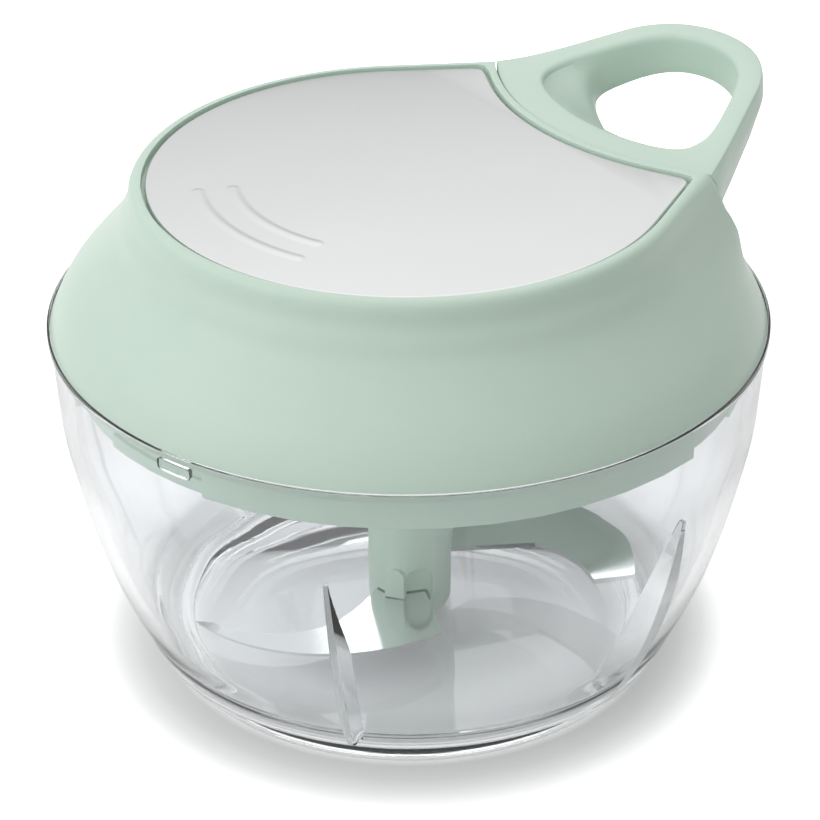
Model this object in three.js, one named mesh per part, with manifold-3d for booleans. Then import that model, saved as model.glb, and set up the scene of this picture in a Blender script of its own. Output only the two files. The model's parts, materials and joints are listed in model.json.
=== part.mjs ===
// A pull-cord food chopper. A clear bowl stands on a foot ring and holds a blade unit on a pin.
// The domed lid is held by three bayonet lugs. It carries a steel plate, a cord reel with its
// recoil spring, a one-way drive, and a loop handle that docks in a bite in the lid's rim.
// Millimetres, +Z up, handle along +X. The origin is the centre of the bounding box's bottom.

import * as THREE from 'three';
import { mergeVertices } from 'three/addons/utils/BufferGeometryUtils.js';
import Module from 'manifold-3d';

const wasm = await Module();
wasm.setup();

// Clearances, and the overrun of a cutting tool
const SEAT_GAP = 0.3;
const REEL_GAP = 0.4;
const OVERRUN = 1;

// Sides of turned pieces, and steps along curves
const BODY_SIDES = 48;
const MEDIUM_SIDES = 28;
const SMALL_SIDES = 16;
const TINY_SIDES = 8;
const REEL_SIDES = 36;
const RIM_STEPS = 60;
const WALL_STEPS = 9;
const CORNER_STEPS = 3;
const LID_STEPS = 11;
const PLATE_STEPS = 96;
const DOCK_STEPS = 32;
const EDGE_STEPS = 14;
const BACK_STEPS = 9;
const TANG_STEPS = 4;
const ARCH_STEPS = 6;
const SECTOR_STEP_DEG = 6;
const SPRING_STEPS = 16;
const CORD_STEPS = 20;
const CORD_SIDES = 8;
const HANDLE_SIDE_STEPS = 46;
const HANDLE_NEAR_STEPS = 16;
const SHOULDER_STEPS = 4;
const SOLVER_STEPS = 40;

// The body: its radius where bowl and lid meet, the height of that seam, and the lid above it
const BODY_RADIUS = 63.5;
const SEAM_HEIGHT = 66;
const LID_HEIGHT = 26.5;

// Bowl
const BOWL_WALL = 2.4;
const FOOT_SHARE = 0.7165;
const FOOT_HEIGHT = 2;
const FOOT_WIDTH = 3.5;
const FOOT_RECESS = 1.2;
const FLOOR_TOP = 4.2;
const FLOOR_MARGIN = 4.5;
const FLOOR_CORNER_HEIGHT = 5;
const FLOOR_CORNER_WIDTH = 4;
const BOSS_RADIUS = 5.4;
const BOSS_HEIGHT = 2.3;
const FIN_THICKNESS = 1.6;
const FIN_FOOT = 2.5;
const FIN_HEIGHT_SHARE = 0.697;
const FIN_TURNS_DEG = [-137, -76, 43, 104];
const LUG_DEPTH = 1.2;
const LUG_LENGTH = 7;
const LUG_HEIGHT = 2.2;
const LUG_DROP = 4.8;
const LUG_TURNS_DEG = [-163.7, -43.7, 76.3];

// The bowl wall's outline, as shares of the seam height and of the body radius
const BOWL_WALL_SHARES = [
  [0.033, 0.744], [0.076, 0.776], [0.152, 0.811], [0.242, 0.853], [0.364, 0.899],
  [0.515, 0.941], [0.697, 0.979], [0.848, 0.992], [1, 1],
];

// Blade pin and blade unit
const PIN_RADIUS = 2.4;
const PIN_BASE = 2.6;
const PIN_LENGTH = 17.4;
const BUSH_WALL = 1.1;
const COLUMN_RADIUS = 7.75;
const COLUMN_TOP_RADIUS = 7.3;
const COLUMN_FOOT_GAP = 0.6;
const COLUMN_CHAMFER = 0.6;
const COLUMN_CORE_RADIUS = 3.4;
const COLUMN_CORE_RISE = 7;
const CROWN_RADIUS = 5;
const CROWN_HEIGHT = 5.6;
const DOG_RADIUS = 7.6;
const DOG_WIDTH_DEG = 40;
const DOG_PLAY_DEG = 30;
const RECESS_WIDTH = 5.1;
const RECESS_HEIGHT = 6.7;
const RECESS_DEPTH = 1.6;
const RECESS_TURN_DEG = 80.5;
const LOBE_WIDTH = 3.8;
const LOBE_HEIGHT = 6.7;
const LOBE_PROUD = 0.9;
const LOBE_TURN_DEG = 46.5;
const BLADE_THICKNESS = 1;
const BLADE_BEVEL = 2.2;
const LOWER_BLADE_LIFT = 3.8;
const UPPER_BLADE_LIFT = 10.3;
const TANG_RADIUS = 5.6;
const TANG_FROM_DEG = 17;
const TANG_TO_DEG = 94;

// Each blade lies between two arcs: its cutting edge, which leads, and its back
const LOWER_BLADE = {
  base: FLOOR_TOP + LOWER_BLADE_LIFT,
  turnDeg: 168.5,
  edge: { x: 10.5, y: -14, radius: 34.2, tipDeg: 21, heelDeg: 104.5 },
  back: { x: 21.5, y: -14, radius: 21, tipDeg: 34, heelDeg: 130 },
};
const UPPER_BLADE = {
  base: FLOOR_TOP + UPPER_BLADE_LIFT,
  turnDeg: -45,
  edge: { x: 19.3, y: -2.9, radius: 23.3, tipDeg: -3, heelDeg: 118 },
  back: { x: 8.1, y: -20.1, radius: 31.9, tipDeg: 32, heelDeg: 63 },
};

// Lid cover. Its lip and the handle's dock follow the body's radius.
const COVER_WALL = 2.2;
const LIP_SHARE = 0.7622;
const EAR_TURN_DEG = 59;
const EAR_LIMIT_DEG = 36;
const EAR_BASE_SHARE = 0.19;
const EAR_FULL_SHARE = 0.717;
const EAR_FLARE_SHARE = 0.45;
const EAR_FLARE_DEPTH = 4;
const NOSE_SHARE = 0.35;
const DOCK_CENTRE_SHARE = 1.7314;
const DOCK_RADIUS_SHARE = 1.0744;
const DOCK_SWEEP_DEG = 80;
const DOCK_DEPTH = 10.8;
const PILLAR_RADIUS = 3.6;
const PILLAR_CIRCLE_SHARE = 0.6614;
const PILLAR_TURNS_DEG = [60, 180, 300];

// The lid's outline, as shares of its height and of the body radius
const LID_SHARES = [
  [0, 1], [0.113, 0.979], [0.226, 0.952], [0.34, 0.915], [0.49, 0.86], [0.64, 0.81],
  [0.755, 0.787], [0.849, 0.768], [0.943, 0.763], [1, 0.75],
];

// Steel plate with two pressed ribs
const PLATE_INSET = 2.6;
const PLATE_GAP = 0.4;
const PLATE_THICKNESS = 0.9;
const PLATE_SINK = 0.3;
const PLATE_CORNER_SHARPNESS = 40;
const RIB_RADIUS_SHARES = [0.754, 0.63];
const RIB_WIDTH = 2;
const RIB_PROUD = 0.3;
const RIB_SPAN_DEG = 50;

// Lid base and seal
const BASE_THICKNESS = 2;
const SKIRT_GAP = 0.7;
const SKIRT_WALL = 2.3;
const SKIRT_BELOW_LUG = 2.7;
const CHANNEL_DEPTH = 1.5;
const CHANNEL_LIP_DEPTH = 0.9;
const CHANNEL_OVERRUN_SHARE = 1.5;
const NOTCH_SPAN_DEG = 14.5;
const TWIST_DEG = 24;
const SEAL_WIDTH = 1.5;
const SEAL_HEIGHT = 1.1;
const SCREW_PAD_RADIUS = 6;
const SCREW_PAD_HEIGHT = 2;
const REEL_TRACK_WIDTH = 2;
const REEL_TRACK_HEIGHT = 2;
const TOWER_WALL = 2.3;
const TOWER_DROP = 3.4;
const TOWER_RISE = 1.7;

// Screws
const SCREW_RADIUS = 1.2;
const SCREW_HEAD_RADIUS = 2.8;
const SCREW_HEAD_HEIGHT = 1.4;
const SCREW_LENGTH = 9;
const SCREW_SLOT_WIDTH = 0.7;
const SCREW_SLOT_LENGTH = 3.6;
const SCREW_SLOT_DEPTH = 0.7;
const SOCKET_SCREW_LENGTH = 6.75;

// Axle, reel, spring and cord. The reel's radii follow the room inside the dock's wall.
const AXLE_RADIUS = 2;
const ARBOR_RADIUS = 4.6;
const REEL_FLANGE_SHARE = 0.7705;
const REEL_FLANGE_THICKNESS = 1.2;
const REEL_GROOVE_HEIGHT = 3.4;
const DRUM_SHARE = 0.6653;
const DRUM_WALL = 1.5;
const REEL_WEB = 2;
const SPRING_STRIP = 0.5;
const SPRING_TURNS = 7;
const SPRING_ROOM = 1.9;
const RATCHET_TOOTH_DEPTH = 1.6;
const RATCHET_TEETH = 12;
const RATCHET_HEIGHT_SHARE = 0.442;
const RATCHET_STEP = 0.7;
const CORD_RADIUS = 0.8;
const CORD_TURNS = 2.5;
const CORD_PITCH = 1.7;
const EYELET_RADIUS = 2;
const EYELET_BORE = 1.2;
const EYELET_FLANGE_RADIUS = 3;
const EYELET_FLANGE = 0.6;
const LEAD_GAP = 1.5;

// Drive
const JOURNAL_RADIUS = 4;
const BEARING_WALL = 1.3;
const BEARING_FLANGE_RADIUS = 7.2;
const BEARING_FLANGE = 0.7;
const DRIVE_DISC_SHARE = 0.767;
const DRIVE_DISC_THICKNESS = 1.8;
const PEG_RADIUS = 1.2;
const PEG_CIRCLE_SHARE = 0.547;
const PAWL_HEIGHT_SHARE = 0.545;
const PAWL_EYE_RADIUS = 2.5;
const PAWL_TIP_SHARE = 0.96;
const PAWL_TIP_DEPTH = 1.9;
const PAWL_REACH_DEG = 40;
const PAWL_PLAY_DEG = 1.5;
const SOCKET_DROP = 0.4;
const SOCKET_HEIGHT = 9.7;
const SOCKET_RADIUS = 10.6;
const SOCKET_NECK_RADIUS = 7.4;
const SOCKET_BORE = 8;
const SOCKET_CAVITY_HEIGHT = 5.5;
const SOCKET_FLOOR = 1.2;
const SQUARE_WIDTH = 5.2;

// Handle
const HANDLE_REACH_SHARE = 1.533;
const HANDLE_GAP = 0.35;
const HANDLE_BAR = 4.4;
const HANDLE_NEAR_BAR = 7.6;
const HANDLE_FOOT_SHARE = 0.346;
const HANDLE_TIP_BAR = 4.8;
const HANDLE_RISE = 7.8;
const HANDLE_RISE_START = 8.2;
const HANDLE_RISE_PAST_TIP = 1.8;
const HANDLE_LIFT = 8.5;
const HANDLE_LIFT_START = 14.2;
const HANDLE_INNER_DEPTH = 6.9;
const HANDLE_ROUND_AT_DOCK = 0.6;
const HANDLE_ROUND_AT_TIP = 3;
const HANDLE_SIDE_DEPTH = 4;
const HANDLE_SIDE_FLARE = 2.6;
const HANDLE_TIP_FLARE = 0.4;
const HANDLE_UNDERCUT = 1.5;
const SHOULDER_SHARE = 0.25;
const HANDLE_CREASE = 0.5;
const HOLE_SHARPNESS = 7;
const LEAST_SHARE = 0.01;
const KNOT_RADIUS = 2.4;
const KNOT_INSET = 6.4;
const KNOT_BAY_LENGTH = 6.4;
const KNOT_BAY_WIDTH = 6.4;
const KNOT_PLUG_THICKNESS = 0.8;

// Radii that follow from the ones above
const FOOT_RADIUS = BODY_RADIUS * FOOT_SHARE;
const FLOOR_RADIUS = FOOT_RADIUS - FLOOR_MARGIN;
const SKIRT_RADIUS = BODY_RADIUS - BOWL_WALL - SKIRT_GAP;
const LIP_RADIUS = BODY_RADIUS * LIP_SHARE;
const EAR_RADIUS = LIP_RADIUS / Math.cos(radians(EAR_TURN_DEG - EAR_LIMIT_DEG));
const DOCK_CENTRE = LIP_RADIUS * DOCK_CENTRE_SHARE;
const DOCK_RADIUS = LIP_RADIUS * DOCK_RADIUS_SHARE;
const DOCK_NEAR = DOCK_CENTRE - DOCK_RADIUS;
const PILLAR_CIRCLE = BODY_RADIUS * PILLAR_CIRCLE_SHARE;
const REEL_FLANGE_RADIUS = DOCK_NEAR * REEL_FLANGE_SHARE;
const DRUM_RADIUS = REEL_FLANGE_RADIUS * DRUM_SHARE;
const DRUM_INNER = DRUM_RADIUS - DRUM_WALL;
const WINDING_INNER = DRUM_RADIUS + SEAT_GAP + CORD_RADIUS;
const WINDING_OUTER = WINDING_INNER + CORD_TURNS * CORD_PITCH;
const LEAD_RADIUS = WINDING_OUTER + SEAT_GAP + 2 * CORD_RADIUS;
const LEAD_END = DOCK_NEAR - COVER_WALL - SEAT_GAP - EYELET_FLANGE - LEAD_GAP;
const RATCHET_RING_RADIUS = DRUM_RADIUS + RATCHET_STEP;
const RATCHET_ROOT_RADIUS = RATCHET_RING_RADIUS - 2 * RATCHET_STEP - SEAT_GAP * 2;
const RATCHET_TIP_RADIUS = RATCHET_ROOT_RADIUS - RATCHET_TOOTH_DEPTH;
const REEL_TRACK_RADIUS = RATCHET_RING_RADIUS - REEL_TRACK_WIDTH;
const DRIVE_DISC_RADIUS = RATCHET_ROOT_RADIUS * DRIVE_DISC_SHARE;
const PEG_CIRCLE = RATCHET_ROOT_RADIUS * PEG_CIRCLE_SHARE;
const PAWL_TIP_RADIUS = RATCHET_ROOT_RADIUS * PAWL_TIP_SHARE;
const BUSH_BORE = PIN_RADIUS + SEAT_GAP;
const COLUMN_BORE = BUSH_BORE + BUSH_WALL + SEAT_GAP;
const BEARING_BORE = JOURNAL_RADIUS + SEAT_GAP;
const BEARING_RADIUS = BEARING_BORE + BEARING_WALL;
const TOWER_BORE = BEARING_RADIUS + SEAT_GAP;

// Heights that follow, from the bottom up
const BOWL_HEIGHT = SEAM_HEIGHT - SEAT_GAP;
const FIN_TOP = SEAM_HEIGHT * FIN_HEIGHT_SHARE;
const BOSS_TOP = FLOOR_TOP + BOSS_HEIGHT;
const PIN_TOP = PIN_BASE + PIN_LENGTH;
const COLUMN_SEAT = BOSS_TOP + SEAT_GAP;
const COLUMN_CORE_BASE = PIN_TOP + COLUMN_CORE_RISE;
const LUG_BASE = SEAM_HEIGHT - LUG_DROP;
const SKIRT_BASE = LUG_BASE - SKIRT_BELOW_LUG;
const TOWER_BASE = SEAM_HEIGHT - TOWER_DROP;
const SOCKET_TOP = TOWER_BASE - SOCKET_DROP;
const SOCKET_BASE = SOCKET_TOP - SOCKET_HEIGHT;
const SOCKET_CEILING = SOCKET_BASE + SOCKET_CAVITY_HEIGHT;
const CROWN_TOP = SOCKET_CEILING - REEL_GAP;
const COLUMN_SHOULDER = CROWN_TOP - CROWN_HEIGHT;
const BASE_TOP = SEAM_HEIGHT + BASE_THICKNESS;
const TOWER_TOP = BASE_TOP + TOWER_RISE;
const LID_TOP = SEAM_HEIGHT + LID_HEIGHT;
const EAR_BASE = SEAM_HEIGHT + LID_HEIGHT * EAR_BASE_SHARE;
const EAR_FULL = SEAM_HEIGHT + LID_HEIGHT * EAR_FULL_SHARE;
const DOCK_FLOOR = LID_TOP - DOCK_DEPTH;
const PLATE_TOP = LID_TOP - PLATE_SINK;
const PLATE_BASE = PLATE_TOP - PLATE_THICKNESS;
const CEILING = PLATE_BASE - SEAT_GAP - COVER_WALL;
const REEL_BASE = BASE_TOP + REEL_TRACK_HEIGHT + SEAT_GAP;
const REEL_TOP = CEILING - REEL_GAP;
const GROOVE_TOP = REEL_TOP - REEL_FLANGE_THICKNESS;
const GROOVE_BASE = GROOVE_TOP - REEL_GROOVE_HEIGHT;
const CORD_HEIGHT = (GROOVE_TOP + GROOVE_BASE) / 2;
const WEB_BASE = REEL_BASE + (REEL_TOP - REEL_BASE) * RATCHET_HEIGHT_SHARE;
const WEB_TOP = WEB_BASE + REEL_WEB;
const SPRING_BASE = WEB_TOP + 2 * SEAT_GAP;
const SPRING_TOP = REEL_TOP - SPRING_ROOM + 2 * SEAT_GAP;
const DISC_BASE = TOWER_TOP + BEARING_FLANGE + 2 * SEAT_GAP;
const DISC_TOP = DISC_BASE + DRIVE_DISC_THICKNESS;
const PAWL_HEIGHT = (WEB_BASE - DISC_TOP) * PAWL_HEIGHT_SHARE;
const HANDLE_FLOOR = DOCK_FLOOR + SEAT_GAP;

// The handle's plan
const HANDLE_REACH = LIP_RADIUS * HANDLE_REACH_SHARE;
const HANDLE_NOSE_CENTRE = (HANDLE_REACH - HANDLE_TIP_FLARE - LIP_RADIUS)
  / (1 - Math.cos(radians(EAR_TURN_DEG)));
const KNOT_CENTRE = DOCK_NEAR + KNOT_INSET;

function radians(degrees) {
  return THREE.MathUtils.degToRad(degrees);
}

function polar(radius, angle) {
  return new THREE.Vector2(radius * Math.cos(angle), radius * Math.sin(angle));
}

// Evenly spaced numbers from first to last, both included
function steps(first, last, count) {
  return Array.from({ length: count + 1 }, (_, i) => first + ((last - first) * i) / count);
}

// Points of a circle's arc
function arcPoints(centreX, centreY, radius, fromAngle, toAngle, count) {
  return steps(fromAngle, toAngle, count).map((angle) => {
    const point = polar(radius, angle);
    return new THREE.Vector2(point.x + centreX, point.y + centreY);
  });
}

// One vertex for each place, no collapsed triangles, and faces that point out
function closedSolid(geometry) {
  const bare = new THREE.BufferGeometry();
  bare.setAttribute('position', geometry.getAttribute('position'));
  bare.setIndex(geometry.index);
  const merged = mergeVertices(bare);
  const places = merged.getAttribute('position');
  const source = merged.index.array;
  const corners = [];
  for (let i = 0; i < source.length; i += 3) {
    const [a, b, c] = [source[i], source[i + 1], source[i + 2]];
    if (a !== b && b !== c && c !== a) {
      corners.push([a, b, c]);
    }
  }
  const at = (index) => new THREE.Vector3().fromBufferAttribute(places, index);
  const volume = corners.reduce((sum, [a, b, c]) => sum + at(a).dot(at(b).cross(at(c))), 0);
  const order = corners.flatMap(([a, b, c]) => (volume < 0 ? [a, c, b] : [a, b, c]));
  return new wasm.Manifold(new wasm.Mesh({
    numProp: 3,
    vertProperties: Float32Array.from(places.array),
    triVerts: Uint32Array.from(order),
  }));
}

const asSolid = (shape) => (shape.isBufferGeometry ? closedSolid(shape) : shape);
const join = (...shapes) => shapes.map(asSolid).reduce((all, one) => all.add(one));
const cut = (body, ...tools) => tools.map(asSolid).reduce((all, one) => all.subtract(one), asSolid(body));

function turn(geometry, degrees) {
  return geometry.clone().rotateZ(radians(degrees));
}

// A revolved piece from [radius, height] pairs; a ring's profile is closed here
function turned(profile, sides = MEDIUM_SIDES) {
  const points = profile.map(([radius, height]) => new THREE.Vector2(radius, height));
  const onAxis = points[0].x === 0 && points.at(-1).x === 0;
  if (!onAxis) {
    points.push(points[0].clone());
  }
  return new THREE.LatheGeometry(points, sides).rotateX(Math.PI / 2);
}

function rod(radius, base, top, sides = SMALL_SIDES) {
  const geometry = new THREE.CylinderGeometry(radius, radius, top - base, sides);
  return geometry.rotateX(Math.PI / 2).translate(0, 0, (base + top) / 2);
}

function block(width, depth, base, top) {
  return new THREE.BoxGeometry(width, depth, top - base).translate(0, 0, (base + top) / 2);
}

function ring(outer, inner, base, top, sides = MEDIUM_SIDES) {
  return turned([[inner, base], [outer, base], [outer, top], [inner, top]], sides);
}

function slab(outline, base, top) {
  const shape = outline instanceof THREE.Shape ? outline : new THREE.Shape(outline);
  const geometry = new THREE.ExtrudeGeometry(shape, { depth: top - base, bevelEnabled: false });
  return geometry.translate(0, 0, base);
}

// A piece of a ring between two turns
function sector(outer, inner, fromDegrees, toDegrees, base, top) {
  const count = Math.ceil((toDegrees - fromDegrees) / SECTOR_STEP_DEG);
  const outside = arcPoints(0, 0, outer, radians(fromDegrees), radians(toDegrees), count);
  const inside = arcPoints(0, 0, inner, radians(toDegrees), radians(fromDegrees), count);
  return slab([...outside, ...inside], base, top);
}

// A skin over rings of points with as many points in each, capped at both ends
function stackedLoft(rings) {
  const count = rings[0].length;
  const places = rings.flat().flatMap((point) => [point.x, point.y, point.z]);
  const faces = [];
  for (let level = 0; level < rings.length - 1; level += 1) {
    for (let i = 0; i < count; i += 1) {
      const [a, b] = [level * count + i, level * count + ((i + 1) % count)];
      faces.push(a, b, b + count, a, b + count, a + count);
    }
  }
  const lastLevel = (rings.length - 1) * count;
  const flat = (level) => level.map((point) => new THREE.Vector2(point.x, point.y));
  for (const [a, b, c] of THREE.ShapeUtils.triangulateShape(flat(rings[0]), [])) {
    faces.push(a, c, b);
  }
  for (const [a, b, c] of THREE.ShapeUtils.triangulateShape(flat(rings.at(-1)), [])) {
    faces.push(a + lastLevel, b + lastLevel, c + lastLevel);
  }
  return skin(places, faces);
}

// A closed loop of sections, each a closed ring of points: a bent bar with no ends
function loopedLoft(sections) {
  const count = sections[0].length;
  const total = sections.length * count;
  const places = sections.flat().flatMap((point) => [point.x, point.y, point.z]);
  const faces = [];
  for (let start = 0; start < total; start += count) {
    const following = (start + count) % total;
    for (let i = 0; i < count; i += 1) {
      const j = (i + 1) % count;
      faces.push(start + i, following + i, following + j, start + i, following + j, start + j);
    }
  }
  return skin(places, faces);
}

function skin(places, faces) {
  const geometry = new THREE.BufferGeometry();
  geometry.setAttribute('position', new THREE.Float32BufferAttribute(places, 3));
  geometry.setIndex(faces);
  return geometry;
}

// A rod between two points
function rodBetween(from, to, radius, sides) {
  const length = from.distanceTo(to);
  const along = to.clone().sub(from).normalize();
  const geometry = new THREE.CylinderGeometry(radius, radius, length, sides);
  geometry.applyQuaternion(new THREE.Quaternion().setFromUnitVectors(new THREE.Vector3(0, 1, 0), along));
  const middle = from.clone().add(to).multiplyScalar(0.5);
  return geometry.translate(middle.x, middle.y, middle.z);
}

// The bowl's wall from foot to rim, and the same curve moved in by the wall
function bowlCurves() {
  const places = BOWL_WALL_SHARES.map(
    ([height, radius]) => new THREE.Vector2(radius * BODY_RADIUS, height * SEAM_HEIGHT),
  );
  places[places.length - 1].y = BOWL_HEIGHT;
  const curve = new THREE.SplineCurve(places);
  const shares = steps(0, 1, WALL_STEPS);
  const outer = shares.map((share) => curve.getPoint(share));
  const inner = shares.map((share) => {
    const along = curve.getTangent(share);
    return new THREE.Vector2(-along.y, along.x).multiplyScalar(BOWL_WALL).add(curve.getPoint(share));
  });
  inner.at(-1).y = BOWL_HEIGHT;
  return { outer, inner: inner.filter((point) => point.y > FLOOR_TOP + FLOOR_CORNER_HEIGHT) };
}

function makeBowl() {
  const { outer, inner } = bowlCurves();
  const corner = new THREE.QuadraticBezierCurve(
    new THREE.Vector2(FLOOR_RADIUS, FLOOR_TOP),
    new THREE.Vector2(FLOOR_RADIUS + FLOOR_CORNER_WIDTH, FLOOR_TOP),
    inner[0],
  ).getPoints(CORNER_STEPS);
  const profile = [
    [0, FOOT_RECESS],
    [FOOT_RADIUS - FOOT_WIDTH, FOOT_RECESS],
    [FOOT_RADIUS - FOOT_WIDTH, 0],
    [FOOT_RADIUS, 0],
    [FOOT_RADIUS, FOOT_HEIGHT],
    ...outer.map((point) => [point.x, point.y]),
    ...inner.toReversed().map((point) => [point.x, point.y]),
    ...corner.toReversed().slice(1).map((point) => [point.x, point.y]),
    [0, FLOOR_TOP],
  ];
  const shell = turned(profile, BODY_SIDES);
  const boss = rod(BOSS_RADIUS, FLOOR_TOP - OVERRUN, BOSS_TOP, MEDIUM_SIDES);
  const fins = FIN_TURNS_DEG.map((degrees) => makeFin(inner, degrees));
  const lugs = LUG_TURNS_DEG.map((degrees) => makeLug(inner.at(-1).x, degrees));
  const pinHole = rod(PIN_RADIUS + SEAT_GAP, PIN_BASE - SEAT_GAP, BOSS_TOP + OVERRUN);
  return cut(join(shell, boss, ...fins, ...lugs), pinHole);
}

// A thin fin fills the space between the curved wall and a straight line from floor to wall
function makeFin(inner, degrees) {
  const wallMiddle = BOWL_WALL / 2;
  const wall = inner.filter((point) => point.y < FIN_TOP);
  const top = wall.at(-1);
  const outline = [
    new THREE.Vector2(FOOT_RADIUS - FIN_FOOT, FLOOR_TOP - BOWL_WALL / 2),
    new THREE.Vector2(FOOT_RADIUS, FLOOR_TOP - BOWL_WALL / 2),
    ...wall.map((point) => new THREE.Vector2(point.x + wallMiddle, point.y)),
    new THREE.Vector2(top.x, FIN_TOP),
  ];
  const fin = slab(outline, -FIN_THICKNESS / 2, FIN_THICKNESS / 2);
  return turn(fin.rotateX(Math.PI / 2), degrees);
}

function makeLug(wallRadius, degrees) {
  const half = THREE.MathUtils.radToDeg(LUG_LENGTH / wallRadius) / 2;
  const outer = wallRadius + BOWL_WALL / 2;
  const inner = wallRadius - LUG_DEPTH;
  return sector(outer, inner, degrees - half, degrees + half, LUG_BASE, LUG_BASE + LUG_HEIGHT);
}

function makePivotPin() {
  const nose = PIN_RADIUS / 2;
  return turned([
    [0, PIN_BASE], [PIN_RADIUS, PIN_BASE], [PIN_RADIUS, PIN_TOP - nose], [nose, PIN_TOP], [0, PIN_TOP],
  ], SMALL_SIDES);
}

function makePivotBush() {
  return ring(BUSH_BORE + BUSH_WALL, BUSH_BORE, COLUMN_SEAT, PIN_TOP - SEAT_GAP, SMALL_SIDES);
}

// The blade's outline, with its cutting edge moved in by the bevel
function bladeOutline({ edge, back }, bevel) {
  const front = arcPoints(edge.x, edge.y, edge.radius - bevel,
    radians(edge.tipDeg), radians(edge.heelDeg), EDGE_STEPS);
  const tang = arcPoints(0, 0, TANG_RADIUS, radians(TANG_TO_DEG), radians(TANG_FROM_DEG), TANG_STEPS);
  const rear = arcPoints(back.x, back.y, back.radius,
    radians(back.heelDeg), radians(back.tipDeg), BACK_STEPS);
  return [...front, ...tang, ...rear];
}

function makeBlade(blade) {
  const raise = (height) => (point) => new THREE.Vector3(point.x, point.y, height);
  const rings = [
    bladeOutline(blade, 0).map(raise(blade.base)),
    bladeOutline(blade, BLADE_BEVEL).map(raise(blade.base + BLADE_THICKNESS)),
  ];
  return asSolid(turn(stackedLoft(rings), blade.turnDeg));
}

// The slot in the column that takes a blade's tang
function tangSlot({ base, turnDeg }) {
  const side = THREE.MathUtils.radToDeg(SEAT_GAP / TANG_RADIUS);
  return sector(COLUMN_RADIUS + LOBE_PROUD + OVERRUN, TANG_RADIUS - SEAT_GAP,
    turnDeg + TANG_FROM_DEG - side, turnDeg + TANG_TO_DEG + side,
    base - SEAT_GAP, base + BLADE_THICKNESS + SEAT_GAP);
}

// A bar that runs out along the column's radius, with a flat bottom and an arched top
function archedBar(width, base, top, near, far, degrees) {
  const half = width / 2;
  const arch = arcPoints(0, top - half, half, 0, Math.PI, ARCH_STEPS);
  const outline = [new THREE.Vector2(-half, base), new THREE.Vector2(half, base), ...arch];
  const bar = slab(outline, near, far).rotateX(Math.PI / 2).rotateZ(Math.PI / 2);
  return turn(bar, degrees);
}

// Above each blade's root the column has a raised lobe, and an arched recess beside it
function rootLobe({ base, turnDeg }) {
  return archedBar(LOBE_WIDTH, base, base + BLADE_THICKNESS + LOBE_HEIGHT,
    CROWN_RADIUS, COLUMN_RADIUS + LOBE_PROUD, turnDeg + LOBE_TURN_DEG);
}

function rootRecess({ base, turnDeg }) {
  return archedBar(RECESS_WIDTH, base + BLADE_THICKNESS, base + BLADE_THICKNESS + RECESS_HEIGHT,
    COLUMN_RADIUS - RECESS_DEPTH, COLUMN_RADIUS + OVERRUN, turnDeg + RECESS_TURN_DEG);
}

// The column turns on the boss. Its foot reaches down round the boss, close to the floor.
function makeColumn() {
  const foot = FLOOR_TOP + COLUMN_FOOT_GAP;
  const body = turned([
    [COLUMN_BORE, COLUMN_SEAT],
    [BOSS_RADIUS + SEAT_GAP, COLUMN_SEAT],
    [BOSS_RADIUS + SEAT_GAP, foot],
    [COLUMN_RADIUS - COLUMN_CHAMFER, foot],
    [COLUMN_RADIUS, foot + COLUMN_CHAMFER],
    [COLUMN_RADIUS, COLUMN_CORE_BASE],
    [COLUMN_TOP_RADIUS, COLUMN_SHOULDER],
    [CROWN_RADIUS, COLUMN_SHOULDER],
    [CROWN_RADIUS, CROWN_TOP],
    [COLUMN_CORE_RADIUS, CROWN_TOP],
    [COLUMN_CORE_RADIUS, COLUMN_CORE_BASE],
    [COLUMN_BORE, PIN_TOP + OVERRUN],
  ]);
  const dogs = [0, 180].map((degrees) => sector(DOG_RADIUS, CROWN_RADIUS - OVERRUN / 2,
    degrees - DOG_WIDTH_DEG / 2, degrees + DOG_WIDTH_DEG / 2, COLUMN_SHOULDER - OVERRUN, CROWN_TOP));
  const blades = [LOWER_BLADE, UPPER_BLADE];
  return cut(join(body, ...dogs, ...blades.map(rootLobe)),
    ...blades.map(tangSlot), ...blades.map(rootRecess));
}

// The lid's rim in plan: a circle whose tangents run on into the handle
function teardropRadius(lipRadius, angle) {
  const tangent = radians(EAR_TURN_DEG);
  const away = Math.abs(angle);
  return away >= tangent ? lipRadius : lipRadius / Math.cos(tangent - away);
}

// How far the rim stands out of its circle at a turn: full at the ears, less between them
function earOffset(angle) {
  const limit = radians(EAR_LIMIT_DEG);
  const away = Math.abs(angle);
  if (away >= limit) {
    return teardropRadius(LIP_RADIUS, angle) - LIP_RADIUS;
  }
  return (EAR_RADIUS - LIP_RADIUS) * THREE.MathUtils.lerp(NOSE_SHARE, 1, away / limit);
}

function earWeight(height) {
  const rise = THREE.MathUtils.smoothstep(height, EAR_BASE, EAR_FULL);
  return rise * (1 + EAR_FLARE_SHARE * Math.min(1, (LID_TOP - height) / EAR_FLARE_DEPTH));
}

// Lid outline points, or the inside of the wall when an inset is given
function lidProfile(inset) {
  const places = LID_SHARES.map(([height, radius]) => new THREE.Vector2(
    radius * BODY_RADIUS - inset,
    SEAM_HEIGHT + height * (LID_TOP - SEAM_HEIGHT),
  ));
  return new THREE.SplineCurve(places).getPoints(LID_STEPS);
}

// The lid's radius at a height, before its ears are added
function lidRadius(height) {
  const outline = lidProfile(0);
  const above = outline.findIndex((point) => point.y > height);
  const [low, high] = [outline[above - 1], outline[above]];
  return THREE.MathUtils.mapLinear(height, low.y, high.y, low.x, high.x);
}

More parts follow.
